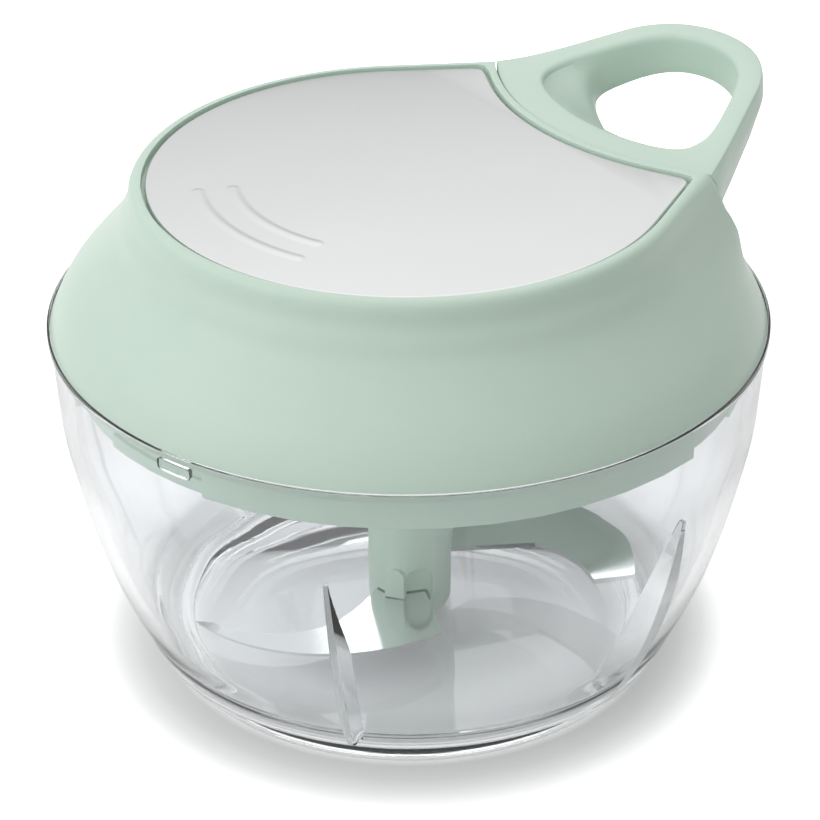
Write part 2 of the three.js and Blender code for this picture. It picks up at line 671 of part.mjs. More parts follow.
// The part of the plan that lies past the docking arc, grown by a margin
function dockRegion(margin, base, top) {
  const radius = DOCK_RADIUS + margin;
  const outline = arcPoints(DOCK_CENTRE, 0, radius,
    radians(180 - DOCK_SWEEP_DEG), radians(180 + DOCK_SWEEP_DEG), DOCK_STEPS);
  return slab(outline.reverse(), base, top);
}

function makeLidCover() {
  const angles = steps(-Math.PI, Math.PI, RIM_STEPS).slice(0, -1);
  const rings = lidProfile(0).map((point) => angles.map((angle) => {
    const plan = polar(point.x + earOffset(angle) * earWeight(point.y), angle);
    return new THREE.Vector3(plan.x, plan.y, point.y);
  }));
  const outside = cut(stackedLoft(rings), dockRegion(0, DOCK_FLOOR, LID_TOP + OVERRUN));
  const inside = lidProfile(COVER_WALL).filter((point) => point.y < CEILING);
  const room = cut(
    turned([
      [0, SEAM_HEIGHT - OVERRUN],
      [inside[0].x, SEAM_HEIGHT - OVERRUN],
      ...inside.map((point) => [point.x, point.y]),
      [inside.at(-1).x, CEILING],
      [0, CEILING],
    ], BODY_SIDES),
    dockRegion(COVER_WALL, DOCK_FLOOR - COVER_WALL, LID_TOP),
  );
  const plateSeat = slab(plateOutline(PLATE_INSET - PLATE_GAP), PLATE_BASE - SEAT_GAP, LID_TOP + OVERRUN);
  const pillars = PILLAR_TURNS_DEG.map((degrees) => pillar(degrees));
  const arbor = rod(ARBOR_RADIUS, WEB_TOP + SEAT_GAP * 2, CEILING + OVERRUN, MEDIUM_SIDES);
  const axleHole = rod(AXLE_RADIUS + SEAT_GAP, WEB_TOP, CEILING - SEAT_GAP);
  const springSlot = block(2 * ARBOR_RADIUS, SPRING_STRIP + 2 * SEAT_GAP, WEB_TOP, CEILING - SEAT_GAP)
    .translate(ARBOR_RADIUS, 0, 0);
  const eyeletHole = alongX(rod(EYELET_RADIUS + SEAT_GAP,
    DOCK_NEAR - COVER_WALL - OVERRUN, DOCK_NEAR + OVERRUN));
  const screwHoles = PILLAR_TURNS_DEG.map((degrees) => turn(
    rod(SCREW_RADIUS + SEAT_GAP, BASE_TOP, screwTop() + SEAT_GAP).translate(PILLAR_CIRCLE, 0, 0), degrees));
  const shell = cut(outside, room, plateSeat);
  return cut(join(shell, arbor, ...pillars), axleHole, springSlot, eyeletHole, ...screwHoles);
}

// Turns a piece built along Z to lie along X at the cord's height
function alongX(geometry) {
  return geometry.rotateY(Math.PI / 2).translate(0, 0, CORD_HEIGHT);
}

function pillar(degrees) {
  const base = BASE_TOP + SCREW_PAD_HEIGHT + SEAT_GAP;
  return turn(rod(PILLAR_RADIUS, base, CEILING + OVERRUN).translate(PILLAR_CIRCLE, 0, 0), degrees);
}

// Plan of the plate or of its seat: the rim's outline moved in, with the docking arc bitten out
function plateOutline(inset) {
  const biteRadius = DOCK_RADIUS + inset - PLATE_INSET / 2;
  const angles = steps(-Math.PI, Math.PI, PLATE_STEPS).slice(0, -1);
  return angles.map((angle) => {
    const rim = teardropRadius(LIP_RADIUS - inset, angle);
    const reach = biteRadius ** 2 - (DOCK_CENTRE * Math.sin(angle)) ** 2;
    const ahead = Math.cos(angle) > 0 && reach > 0;
    const bite = ahead ? DOCK_CENTRE * Math.cos(angle) - Math.sqrt(reach) : Infinity;
    return polar(softMinimum([rim, bite], PLATE_CORNER_SHARPNESS), angle);
  });
}

// The smaller of some lengths, rounded where they are nearly equal
function softMinimum(lengths, sharpness) {
  const least = Math.min(...lengths);
  const sum = lengths.reduce((total, length) => total + (least / length) ** sharpness, 0);
  return least / sum ** (1 / sharpness);
}

function makeTopPlate() {
  const sheet = slab(plateOutline(PLATE_INSET), PLATE_BASE, PLATE_TOP);
  const ribs = RIB_RADIUS_SHARES.flatMap((share) => {
    const radius = LIP_RADIUS * share;
    const half = RIB_SPAN_DEG / 2;
    const bar = sector(radius + RIB_WIDTH / 2, radius - RIB_WIDTH / 2, 180 - half, 180 + half,
      PLATE_BASE + RIB_PROUD, PLATE_TOP + RIB_PROUD);
    const end = rod(RIB_WIDTH / 2, PLATE_BASE + RIB_PROUD, PLATE_TOP + RIB_PROUD, TINY_SIDES)
      .translate(radius, 0, 0);
    const ends = [180 - half, 180 + half].map((degrees) => turn(end, degrees));
    return [bar, ...ends];
  });
  return join(sheet, ...ribs);
}

function screwTop() {
  return SEAM_HEIGHT + SEAT_GAP + SCREW_HEAD_HEIGHT + SCREW_LENGTH;
}

function makeLidBase() {
  const skirtInner = SKIRT_RADIUS - SKIRT_WALL;
  const flange = (height) => lidRadius(height) - COVER_WALL - SEAT_GAP;
  const groove = SKIRT_RADIUS - SEAL_WIDTH;
  const sealBase = SEAM_HEIGHT - SEAT_GAP - SEAL_HEIGHT;
  const body = turned([
    [TOWER_BORE, TOWER_BASE],
    [TOWER_BORE + TOWER_WALL, TOWER_BASE],
    [TOWER_BORE + TOWER_WALL, SEAM_HEIGHT],
    [skirtInner, SEAM_HEIGHT],
    [skirtInner, SKIRT_BASE],
    [SKIRT_RADIUS, SKIRT_BASE],
    [SKIRT_RADIUS, sealBase - SEAT_GAP],
    [groove - SEAT_GAP, sealBase - SEAT_GAP],
    [groove - SEAT_GAP, SEAM_HEIGHT],
    [flange(SEAM_HEIGHT), SEAM_HEIGHT],
    [flange(BASE_TOP), BASE_TOP],
    [REEL_TRACK_RADIUS + REEL_TRACK_WIDTH, BASE_TOP],
    [REEL_TRACK_RADIUS + REEL_TRACK_WIDTH, BASE_TOP + REEL_TRACK_HEIGHT],
    [REEL_TRACK_RADIUS, BASE_TOP + REEL_TRACK_HEIGHT],
    [REEL_TRACK_RADIUS, BASE_TOP],
    [TOWER_BORE + TOWER_WALL, BASE_TOP],
    [TOWER_BORE + TOWER_WALL, TOWER_TOP],
    [TOWER_BORE, TOWER_TOP],
  ], BODY_SIDES);
  const padTop = BASE_TOP + SCREW_PAD_HEIGHT;
  const counterTop = SEAM_HEIGHT + 2 * SEAT_GAP + SCREW_HEAD_HEIGHT;
  const atPillars = (geometry) => PILLAR_TURNS_DEG.map((degrees) => turn(
    geometry.clone().translate(PILLAR_CIRCLE, 0, 0), degrees));
  const pads = atPillars(rod(SCREW_PAD_RADIUS, SEAM_HEIGHT + BASE_THICKNESS / 2, padTop));
  const headRooms = atPillars(rod(SCREW_HEAD_RADIUS + SEAT_GAP, SEAM_HEIGHT - OVERRUN, counterTop));
  const screwHoles = atPillars(rod(SCREW_RADIUS + SEAT_GAP, SEAM_HEIGHT, padTop + OVERRUN));
  const locks = LUG_TURNS_DEG.flatMap((degrees) => bayonetCuts(degrees));
  return cut(join(body, ...pads), ...headRooms, ...screwHoles, ...locks);
}

// For one lug: a notch that it enters by, the channel that it turns along, and the lip below
// the channel, which stands in the lug's shadow
function bayonetCuts(lugDegrees) {
  const notchMiddle = lugDegrees - TWIST_DEG;
  const lugHalf = THREE.MathUtils.radToDeg(LUG_LENGTH / SKIRT_RADIUS) / 2;
  const from = notchMiddle - NOTCH_SPAN_DEG / 2;
  const end = lugDegrees + lugHalf * CHANNEL_OVERRUN_SHARE;
  const outer = SKIRT_RADIUS + OVERRUN;
  const deep = SKIRT_RADIUS - CHANNEL_DEPTH;
  const channelBase = LUG_BASE - SEAT_GAP;
  const channelTop = LUG_BASE + LUG_HEIGHT + SEAT_GAP;
  return [
    sector(outer, deep, from, notchMiddle + NOTCH_SPAN_DEG / 2, SKIRT_BASE - OVERRUN, channelTop),
    sector(outer, deep, notchMiddle, end, channelBase, channelTop),
    sector(outer, SKIRT_RADIUS - CHANNEL_LIP_DEPTH, notchMiddle, end, SKIRT_BASE - OVERRUN, channelTop),
  ];
}

function makeSeal() {
  const top = SEAM_HEIGHT - SEAT_GAP;
  return ring(SKIRT_RADIUS + SEAT_GAP / 2, SKIRT_RADIUS - SEAL_WIDTH, top - SEAL_HEIGHT, top, BODY_SIDES);
}

// A cross-head screw pointing up, with its head's driven face at the given height
function screw(base, length) {
  const body = turned([
    [0, base],
    [SCREW_HEAD_RADIUS, base],
    [SCREW_HEAD_RADIUS, base + SCREW_HEAD_HEIGHT],
    [SCREW_RADIUS, base + SCREW_HEAD_HEIGHT],
    [SCREW_RADIUS, base + SCREW_HEAD_HEIGHT + length - SCREW_RADIUS],
    [0, base + SCREW_HEAD_HEIGHT + length],
  ], SMALL_SIDES);
  const slots = [
    block(SCREW_SLOT_LENGTH, SCREW_SLOT_WIDTH, base - OVERRUN, base + SCREW_SLOT_DEPTH),
    block(SCREW_SLOT_WIDTH, SCREW_SLOT_LENGTH, base - OVERRUN, base + SCREW_SLOT_DEPTH),
  ];
  return cut(body, ...slots);
}

function makeAxle() {
  return asSolid(rod(AXLE_RADIUS, BASE_TOP - SEAT_GAP, CEILING - 2 * SEAT_GAP));
}

function makeReel() {
  const hub = BUSH_BORE + BUSH_WALL + SEAT_GAP;
  const body = turned([
    [hub, WEB_BASE],
    [RATCHET_RING_RADIUS, WEB_BASE],
    [RATCHET_RING_RADIUS, WEB_TOP],
    [DRUM_RADIUS, WEB_TOP],
    [DRUM_RADIUS, GROOVE_BASE - REEL_FLANGE_THICKNESS],
    [REEL_FLANGE_RADIUS, GROOVE_BASE - REEL_FLANGE_THICKNESS],
    [REEL_FLANGE_RADIUS, GROOVE_BASE],
    [DRUM_RADIUS, GROOVE_BASE],
    [DRUM_RADIUS, GROOVE_TOP],
    [REEL_FLANGE_RADIUS, GROOVE_TOP],
    [REEL_FLANGE_RADIUS, REEL_TOP],
    [DRUM_INNER, REEL_TOP],
    [DRUM_INNER, WEB_TOP],
    [hub, WEB_TOP],
  ], REEL_SIDES);
  const cordHole = rodBetween(new THREE.Vector3(0, 0, CORD_HEIGHT),
    new THREE.Vector3(DRUM_RADIUS + OVERRUN, 0, CORD_HEIGHT), CORD_RADIUS + SEAT_GAP, SMALL_SIDES);
  const mouth = rodBetween(new THREE.Vector3(DRUM_INNER + SEAT_GAP, 0, CORD_HEIGHT),
    new THREE.Vector3(DRUM_RADIUS, 4 * CORD_RADIUS, CORD_HEIGHT), CORD_RADIUS + SEAT_GAP, SMALL_SIDES);
  const ratchetRing = slab(ratchetShape(), REEL_BASE, WEB_BASE + REEL_WEB / 2);
  const clearHub = rod(RATCHET_TIP_RADIUS, WEB_BASE, WEB_BASE + REEL_WEB, MEDIUM_SIDES);
  const teeth = cut(ratchetRing, clearHub);
  return cut(join(body, teeth), cordHole, mouth);
}

// A ring with saw teeth inside: each tooth is steep on its counter-clockwise face
function ratchetShape() {
  const outer = arcPoints(0, 0, RATCHET_RING_RADIUS, 0, 2 * Math.PI, REEL_SIDES).slice(0, -1);
  const shape = new THREE.Shape(outer);
  const pitch = (2 * Math.PI) / RATCHET_TEETH;
  const hole = [];
  for (let tooth = 0; tooth < RATCHET_TEETH; tooth += 1) {
    const face = tooth * pitch - radians(PAWL_REACH_DEG + PAWL_PLAY_DEG);
    hole.push(polar((RATCHET_ROOT_RADIUS + RATCHET_TIP_RADIUS) / 2, face - pitch / 2));
    hole.push(polar(RATCHET_TIP_RADIUS, face), polar(RATCHET_ROOT_RADIUS, face));
  }
  shape.holes.push(new THREE.Path(hole));
  return shape;
}

function makeReelBush() {
  const bore = AXLE_RADIUS + SEAT_GAP;
  const outer = BUSH_BORE + BUSH_WALL;
  return ring(outer, bore, WEB_BASE + SEAT_GAP / 3, WEB_TOP + SEAT_GAP, SMALL_SIDES);
}

// A round cord along a path
function cordAlong(path, stepCount) {
  const section = new THREE.Shape(arcPoints(0, 0, CORD_RADIUS, 0, 2 * Math.PI, CORD_SIDES).slice(0, -1));
  return new THREE.ExtrudeGeometry(section, { steps: stepCount, bevelEnabled: false, extrudePath: path });
}

// The wound cord starts in the drum's hole and lies turn over turn in the groove
function makeWinding() {
  const onReel = (radius, angle) => {
    const point = polar(radius, angle);
    return new THREE.Vector3(point.x, point.y, CORD_HEIGHT);
  };
  const count = CORD_TURNS * CORD_STEPS;
  const lay = steps(0, CORD_TURNS, count).slice(1).map((turns) => onReel(
    WINDING_INNER + turns * CORD_PITCH, turns * 2 * Math.PI));
  const bend = CORD_RADIUS / DRUM_RADIUS;
  const anchor = [
    onReel(DRUM_INNER + SEAT_GAP, 0),
    onReel(DRUM_RADIUS, 0),
    onReel(DRUM_RADIUS + CORD_RADIUS + SEAT_GAP / 2, 2 * bend),
  ];
  const route = new THREE.CatmullRomCurve3([...anchor, ...lay], false, 'centripetal');
  return asSolid(cordAlong(route, count + CORD_STEPS / 2));
}

// The taut stretch of cord from the winding's tangent point to the eyelet
function makeCordLead() {
  const touch = Math.acos(LEAD_RADIUS / LEAD_END);
  const start = polar(LEAD_RADIUS, -touch);
  return rodBetween(new THREE.Vector3(start.x, start.y, CORD_HEIGHT),
    new THREE.Vector3(LEAD_END, 0, CORD_HEIGHT), CORD_RADIUS, TINY_SIDES);
}

function makeEyelet() {
  const wallBack = DOCK_NEAR - COVER_WALL;
  return alongX(turned([
    [EYELET_BORE, wallBack - SEAT_GAP - EYELET_FLANGE],
    [EYELET_FLANGE_RADIUS, wallBack - SEAT_GAP - EYELET_FLANGE],
    [EYELET_FLANGE_RADIUS, wallBack - SEAT_GAP],
    [EYELET_RADIUS, wallBack - SEAT_GAP],
    [EYELET_RADIUS, DOCK_NEAR - SEAT_GAP],
    [EYELET_BORE, DOCK_NEAR - SEAT_GAP],
  ], SMALL_SIDES));
}

// A flat spiral of spring strip, its inner end bent into the arbor's slot
function makeSpring() {
  const from = ARBOR_RADIUS + SEAT_GAP + SPRING_STRIP;
  const to = DRUM_INNER - SEAT_GAP - SPRING_STRIP / 2;
  const middle = (side) => steps(0, 1, SPRING_TURNS * SPRING_STEPS).map((share) => {
    const radius = THREE.MathUtils.lerp(from, to, share);
    return polar(radius + (side * SPRING_STRIP) / 2, share * SPRING_TURNS * 2 * Math.PI);
  });
  const outline = [...middle(1), ...middle(-1).reverse()];
  const strip = slab(outline, SPRING_BASE, SPRING_TOP);
  const tangLength = from - AXLE_RADIUS - 2 * SEAT_GAP;
  const tang = block(tangLength, SPRING_STRIP, SPRING_BASE, SPRING_TOP)
    .translate(from - tangLength / 2, 0, 0);
  return join(strip, tang);
}

function makeDriveShaft() {
  const screwBase = SOCKET_CEILING + SOCKET_FLOOR;
  const stubTop = WEB_BASE - SEAT_GAP;
  const shaft = turned([
    [0, SOCKET_TOP],
    [JOURNAL_RADIUS, SOCKET_TOP + SEAT_GAP],
    [JOURNAL_RADIUS, DISC_BASE],
    [DRIVE_DISC_RADIUS, DISC_BASE],
    [DRIVE_DISC_RADIUS, DISC_TOP],
    [JOURNAL_RADIUS, DISC_TOP],
    [JOURNAL_RADIUS, stubTop],
    [0, stubTop],
  ]);
  const square = block(SQUARE_WIDTH, SQUARE_WIDTH, screwBase + SEAT_GAP, SOCKET_TOP + OVERRUN);
  const pegTop = DISC_TOP + PAWL_HEIGHT + 2 * SEAT_GAP;
  const pegs = [0, 180].map((degrees) => turn(
    rod(PEG_RADIUS, DISC_TOP - OVERRUN, pegTop).translate(PEG_CIRCLE, 0, 0), degrees));
  const axleHole = rod(AXLE_RADIUS + SEAT_GAP, BASE_TOP - 2 * SEAT_GAP, stubTop + OVERRUN);
  const screwHole = rod(SCREW_RADIUS + SEAT_GAP, screwBase, socketScrewTop() + SEAT_GAP);
  return cut(join(shaft, square, ...pegs), axleHole, screwHole);
}

function socketScrewBase() {
  return SOCKET_CEILING - SEAT_GAP - SCREW_HEAD_HEIGHT;
}

function socketScrewTop() {
  return SOCKET_CEILING - SEAT_GAP + SOCKET_SCREW_LENGTH;
}

// A pawl hooks from its peg out to the ratchet's steep tooth face
function makePawl(degrees) {
  const pivot = new THREE.Vector2(PEG_CIRCLE, 0);
  const tip = -radians(PAWL_REACH_DEG);
  const tipOuter = polar(PAWL_TIP_RADIUS, tip);
  const tipInner = polar(PAWL_TIP_RADIUS - PAWL_TIP_DEPTH, tip);
  const toOuter = tipOuter.clone().sub(pivot).angle();
  const toInner = tipInner.clone().sub(pivot).angle();
  const quarter = Math.PI / 2;
  const eye = arcPoints(PEG_CIRCLE, 0, PAWL_EYE_RADIUS,
    toOuter + quarter, toInner + 3 * quarter, TINY_SIDES);
  const base = DISC_TOP + SEAT_GAP;
  const arm = slab([...eye, tipInner, tipOuter], base, base + PAWL_HEIGHT);
  const hole = rod(PEG_RADIUS + SEAT_GAP, base - OVERRUN, base + PAWL_HEIGHT + OVERRUN)
    .translate(PEG_CIRCLE, 0, 0);
  return cut(turn(arm, degrees), turn(hole, degrees));
}

function makeDriveBearing() {
  return turned([
    [BEARING_BORE, TOWER_BASE + SEAT_GAP],
    [BEARING_RADIUS, TOWER_BASE + SEAT_GAP],
    [BEARING_RADIUS, TOWER_TOP + SEAT_GAP],
    [BEARING_FLANGE_RADIUS, TOWER_TOP + SEAT_GAP],
    [BEARING_FLANGE_RADIUS, TOWER_TOP + SEAT_GAP + BEARING_FLANGE],
    [BEARING_BORE, TOWER_TOP + SEAT_GAP + BEARING_FLANGE],
  ], SMALL_SIDES);
}

// The bell under the lid: two dogs inside it drive the column's dogs counter-clockwise. The play
// ahead of them lets the lid turn off its lugs without turning the blades.
function makeDriveSocket() {
  const bell = turned([
    [0, SOCKET_CEILING],
    [SOCKET_BORE, SOCKET_CEILING],
    [SOCKET_BORE, SOCKET_BASE],
    [SOCKET_RADIUS, SOCKET_BASE],
    [SOCKET_RADIUS, SOCKET_CEILING],
    [SOCKET_NECK_RADIUS, SOCKET_TOP],
    [0, SOCKET_TOP],
  ]);
  const dogs = [0, 180].map((degrees) => {
    const to = degrees - DOG_WIDTH_DEG / 2 - DOG_PLAY_DEG;
    return sector(SOCKET_BORE + OVERRUN, CROWN_RADIUS + SEAT_GAP, to - DOG_WIDTH_DEG, to,
      SOCKET_BASE + SEAT_GAP, SOCKET_CEILING + SOCKET_FLOOR / 2);
  });
  const squareSide = SQUARE_WIDTH + 2 * SEAT_GAP;
  const squareHole = block(squareSide, squareSide, SOCKET_CEILING + SOCKET_FLOOR, SOCKET_TOP + OVERRUN);
  const screwHole = rod(SCREW_RADIUS + SEAT_GAP, SOCKET_CEILING - OVERRUN, SOCKET_TOP);
  return cut(join(bell, ...dogs), squareHole, screwHole);
}

// Distance from the nose's centre, along a ray, to a circle round a point on the handle's axis
function rayToCircle(centreX, radius, angle) {
  const offset = centreX - HANDLE_NOSE_CENTRE;
  return offset * Math.cos(angle) + Math.sqrt(radius ** 2 - (offset * Math.sin(angle)) ** 2);
}

// Distance along a ray to the handle's straight side, which is the rim's tangent moved in
function rayToSide(inset, angle) {
  const normal = radians(EAR_TURN_DEG);
  const closing = Math.cos(Math.abs(angle) - normal);
  const distance = LIP_RADIUS - inset - HANDLE_NOSE_CENTRE * Math.cos(normal);
  return closing > 0 ? distance / closing : Infinity;
}

function outerReach(angle) {
  const near = rayToCircle(DOCK_CENTRE, DOCK_RADIUS - HANDLE_GAP, angle);
  const side = rayToSide(0, angle);
  const nose = Math.abs(angle) < radians(EAR_TURN_DEG);
  return nose ? HANDLE_REACH - HANDLE_TIP_FLARE - HANDLE_NOSE_CENTRE : Math.min(near, side);
}

function holeReach(nearBar, angle) {
  const near = rayToCircle(DOCK_CENTRE, DOCK_RADIUS - nearBar, angle);
  const side = rayToSide(HANDLE_BAR, angle);
  const tip = (HANDLE_REACH - HANDLE_NOSE_CENTRE - HANDLE_TIP_BAR) / Math.max(Math.cos(angle), LEAST_SHARE);
  return softMinimum([near, side, tip], HOLE_SHARPNESS);
}

// The handle's top lies level with the plate at the dock and rises towards its tip
function handleTop(x) {
  const rise = THREE.MathUtils.smoothstep(x, DOCK_NEAR + HANDLE_RISE_START,
    HANDLE_REACH + HANDLE_RISE_PAST_TIP);
  return PLATE_TOP + rise * HANDLE_RISE;
}

// A point of the handle, brought back to the docking arc where it would stand past it
function insideDock(x, y, height) {
  const plan = new THREE.Vector2(x - DOCK_CENTRE, y).clampLength(0, DOCK_RADIUS - HANDLE_GAP);
  return new THREE.Vector3(plan.x + DOCK_CENTRE, plan.y, height);
}

// One section across the handle's bar, seen along a ray from the nose's centre
function handleSection(angle) {
  const place = (reach, height) => insideDock(
    HANDLE_NOSE_CENTRE + reach * Math.cos(angle), reach * Math.sin(angle), height);
  const outer = outerReach(angle);
  const inner = holeReach(HANDLE_NEAR_BAR, angle);
  const innerFoot = holeReach(DOCK_RADIUS * HANDLE_FOOT_SHARE, angle);
  const x = HANDLE_NOSE_CENTRE + outer * Math.cos(angle);
  const innerX = HANDLE_NOSE_CENTRE + inner * Math.cos(angle);
  const top = handleTop(x);
  const innerTop = handleTop(innerX);
  const lift = THREE.MathUtils.smoothstep(x, DOCK_NEAR + HANDLE_LIFT_START, HANDLE_REACH);
  const outerFoot = HANDLE_FLOOR + lift * HANDLE_LIFT;
  const rising = THREE.MathUtils.smoothstep(innerX, DOCK_NEAR + HANDLE_NEAR_BAR, HANDLE_REACH);
  const footHeight = THREE.MathUtils.lerp(HANDLE_FLOOR, innerTop - HANDLE_INNER_DEPTH, Math.sqrt(rising));
  const docked = Math.abs(angle) > Math.PI - cornerAngle();
  const spread = THREE.MathUtils.smoothstep(x, DOCK_NEAR + HANDLE_RISE_START, HANDLE_NOSE_CENTRE);
  const flare = docked ? 0 : THREE.MathUtils.lerp(HANDLE_SIDE_FLARE, HANDLE_TIP_FLARE, spread);
  const round = docked ? HANDLE_CREASE
    : THREE.MathUtils.lerp(HANDLE_ROUND_AT_DOCK, HANDLE_ROUND_AT_TIP, spread);
  const sideHeight = Math.max(top - HANDLE_SIDE_DEPTH, outerFoot + HANDLE_CREASE);
  const shoulder = new THREE.QuadraticBezierCurve(
    new THREE.Vector2(outer + flare, docked ? top - HANDLE_CREASE : sideHeight),
    new THREE.Vector2(outer + flare * SHOULDER_SHARE, top),
    new THREE.Vector2(outer - round, top),
  ).getPoints(SHOULDER_STEPS);
  return [
    place(outer + flare - (docked ? 0 : HANDLE_UNDERCUT), outerFoot),
    ...shoulder.map((point) => place(point.x, point.y)),
    place(inner + HANDLE_CREASE * 2, innerTop),
    place(inner, innerTop - HANDLE_CREASE),
    place(innerFoot, footHeight),
  ];
}

// The turn, from the handle's own axis, of the corner where its side meets the docking arc
function cornerAngle() {
  let [low, high] = [0, Math.PI / 2];
  for (let i = 0; i < SOLVER_STEPS; i += 1) {
    const middle = (low + high) / 2;
    const near = rayToCircle(DOCK_CENTRE, DOCK_RADIUS - HANDLE_GAP, Math.PI - middle);
    const onArc = near < rayToSide(0, Math.PI - middle);
    [low, high] = onArc ? [middle, high] : [low, middle];
  }
  return low;
}

function makeHandleGrip() {
  const corner = Math.PI - cornerAngle();
  const sides = steps(-corner, corner, HANDLE_SIDE_STEPS);
  const near = steps(corner, 2 * Math.PI - corner, HANDLE_NEAR_STEPS).slice(1, -1);
  const wrapped = near.map((angle) => (angle > Math.PI ? angle - 2 * Math.PI : angle));
  const loop = loopedLoft([...sides, ...wrapped].map(handleSection));
  const bayTop = CORD_HEIGHT + KNOT_RADIUS + SEAT_GAP * 2;
  const bay = block(KNOT_BAY_LENGTH, KNOT_BAY_WIDTH, HANDLE_FLOOR - OVERRUN, bayTop)
    .translate(KNOT_CENTRE, 0, 0);
  const cordHole = alongX(rod(CORD_RADIUS + SEAT_GAP, DOCK_NEAR - OVERRUN, KNOT_CENTRE));
  return cut(loop, bay, cordHole);
}

function makeKnot() {
  const knot = new THREE.SphereGeometry(KNOT_RADIUS, SMALL_SIDES, TINY_SIDES);
  return asSolid(knot.translate(KNOT_CENTRE, 0, CORD_HEIGHT));
}

function makeKnotPlug() {
  const play = 2 * SEAT_GAP;
  return asSolid(block(KNOT_BAY_LENGTH - play, KNOT_BAY_WIDTH - play,
    HANDLE_FLOOR, HANDLE_FLOOR + KNOT_PLUG_THICKNESS).translate(KNOT_CENTRE, 0, 0));
}

function makeCordTail() {
  const end = KNOT_CENTRE - KNOT_RADIUS - SEAT_GAP;
  return asSolid(alongX(rod(CORD_RADIUS, LEAD_END + 3 * SEAT_GAP, end, TINY_SIDES)));
}

function finish(color, roughness, metalness = 0, opacity = 1) {
  return { color, roughness, metalness, opacity };
}

const MINT = finish(0xb9d0c2, 0.45);
const CLEAR = finish(0xdfe6e8, 0.08, 0, 0.35);
const STEEL = finish(0xd6d7d9, 0.32, 1);
const BLADE_STEEL = finish(0xc4c8c8, 0.22, 1);
const WHITE_RESIN = finish(0xe9e7df, 0.5);
const RUBBER = finish(0xdfe3e0, 0.8);
const BRASS = finish(0xb89a5a, 0.35, 1);
const CORD = finish(0xe4e4df, 0.9);

const centred = new THREE.Group();

function addPiece(parent, name, shape, look) {
  const mesh = asSolid(shape).getMesh();
  const geometry = skin(Array.from(mesh.vertProperties), Array.from(mesh.triVerts));
  const material = new THREE.MeshStandardMaterial({
    ...look,
    transparent: look.opacity < 1,
    flatShading: true,
  });
  const piece = new THREE.Mesh(geometry, material);
  piece.name = name;
  parent.add(piece);
}

function addGroup(parent) {
  const group = new THREE.Group();
  parent.add(group);
  return group;
}

const bowlGroup = addGroup(centred);
addPiece(bowlGroup, 'bowl', makeBowl(), CLEAR);
addPiece(bowlGroup, 'bowl_pivot_pin', makePivotPin(), STEEL);

const bladeGroup = addGroup(centred);
addPiece(bladeGroup, 'blade_column', makeColumn(), MINT);
addPiece(bladeGroup, 'lower_blade', makeBlade(LOWER_BLADE), BLADE_STEEL);
addPiece(bladeGroup, 'upper_blade', makeBlade(UPPER_BLADE), BLADE_STEEL);
addPiece(bladeGroup, 'pivot_bush', makePivotBush(), BRASS);

const sealGroup = addGroup(centred);
addPiece(sealGroup, 'lid_seal', makeSeal(), RUBBER);

const lidGroup = addGroup(centred);
addPiece(lidGroup, 'lid_cover', makeLidCover(), MINT);
addPiece(lidGroup, 'top_plate', makeTopPlate(), STEEL);
addPiece(lidGroup, 'lid_base', makeLidBase(), MINT);
PILLAR_TURNS_DEG.forEach((degrees, index) => {
  const holder = addGroup(lidGroup);
  holder.rotation.z = radians(degrees);
  const placed = addGroup(holder);
  placed.position.x = PILLAR_CIRCLE;
  const baseScrew = screw(SEAM_HEIGHT + SEAT_GAP, SCREW_LENGTH);
  addPiece(placed, `base_screw_${index + 1}`, baseScrew, STEEL);
});
addPiece(lidGroup, 'axle_pin', makeAxle(), STEEL);
addPiece(lidGroup, 'recoil_spring', makeSpring(), BLADE_STEEL);
addPiece(lidGroup, 'cord_eyelet', makeEyelet(), BRASS);
addPiece(lidGroup, 'cord_lead', makeCordLead(), CORD);
addPiece(lidGroup, 'drive_bearing', makeDriveBearing(), BRASS);

const reelGroup = addGroup(lidGroup);
addPiece(reelGroup, 'cord_reel', makeReel(), WHITE_RESIN);
addPiece(reelGroup, 'reel_bush', makeReelBush(), BRASS);
addPiece(reelGroup, 'cord_winding', makeWinding(), CORD);

const driveGroup = addGroup(lidGroup);
addPiece(driveGroup, 'drive_shaft', makeDriveShaft(), WHITE_RESIN);
addPiece(driveGroup, 'drive_pawl_1', makePawl(0), WHITE_RESIN);
addPiece(driveGroup, 'drive_pawl_2', makePawl(180), WHITE_RESIN);
addPiece(driveGroup, 'drive_socket', makeDriveSocket(), MINT);
addPiece(driveGroup, 'socket_screw', screw(socketScrewBase(), SOCKET_SCREW_LENGTH), STEEL);

const handleGroup = addGroup(lidGroup);
addPiece(handleGroup, 'handle_grip', makeHandleGrip(), MINT);
addPiece(handleGroup, 'cord_tail', makeCordTail(), CORD);
addPiece(handleGroup, 'cord_knot', makeKnot(), CORD);
addPiece(handleGroup, 'knot_plug', makeKnotPlug(), MINT);

centred.position.x = (BODY_RADIUS - HANDLE_REACH) / 2;

const chopper = new THREE.Group();
chopper.add(centred);

export default chopper;
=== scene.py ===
# %% [markdown]
# # A pull-cord food chopper
#
# This lesson dresses a small kitchen chopper. Its clear bowl, mint lid, steel plate and
# loop handle already exist as plain engineering solids, so what is left to do in Blender
# is to give each visible piece its soft edges, its smooth curves and its finish.
# Sizes are in millimetres, measured from the middle of the bowl's underside. The last
# step of each piece turns them into metres and moves them to the frame's own origin.

# %% Load the frame
import json

import bmesh
import bpy
from math import acos, atan2, cos, degrees, hypot, inf, pi, radians, sin, sqrt
from mathutils import Matrix, Vector

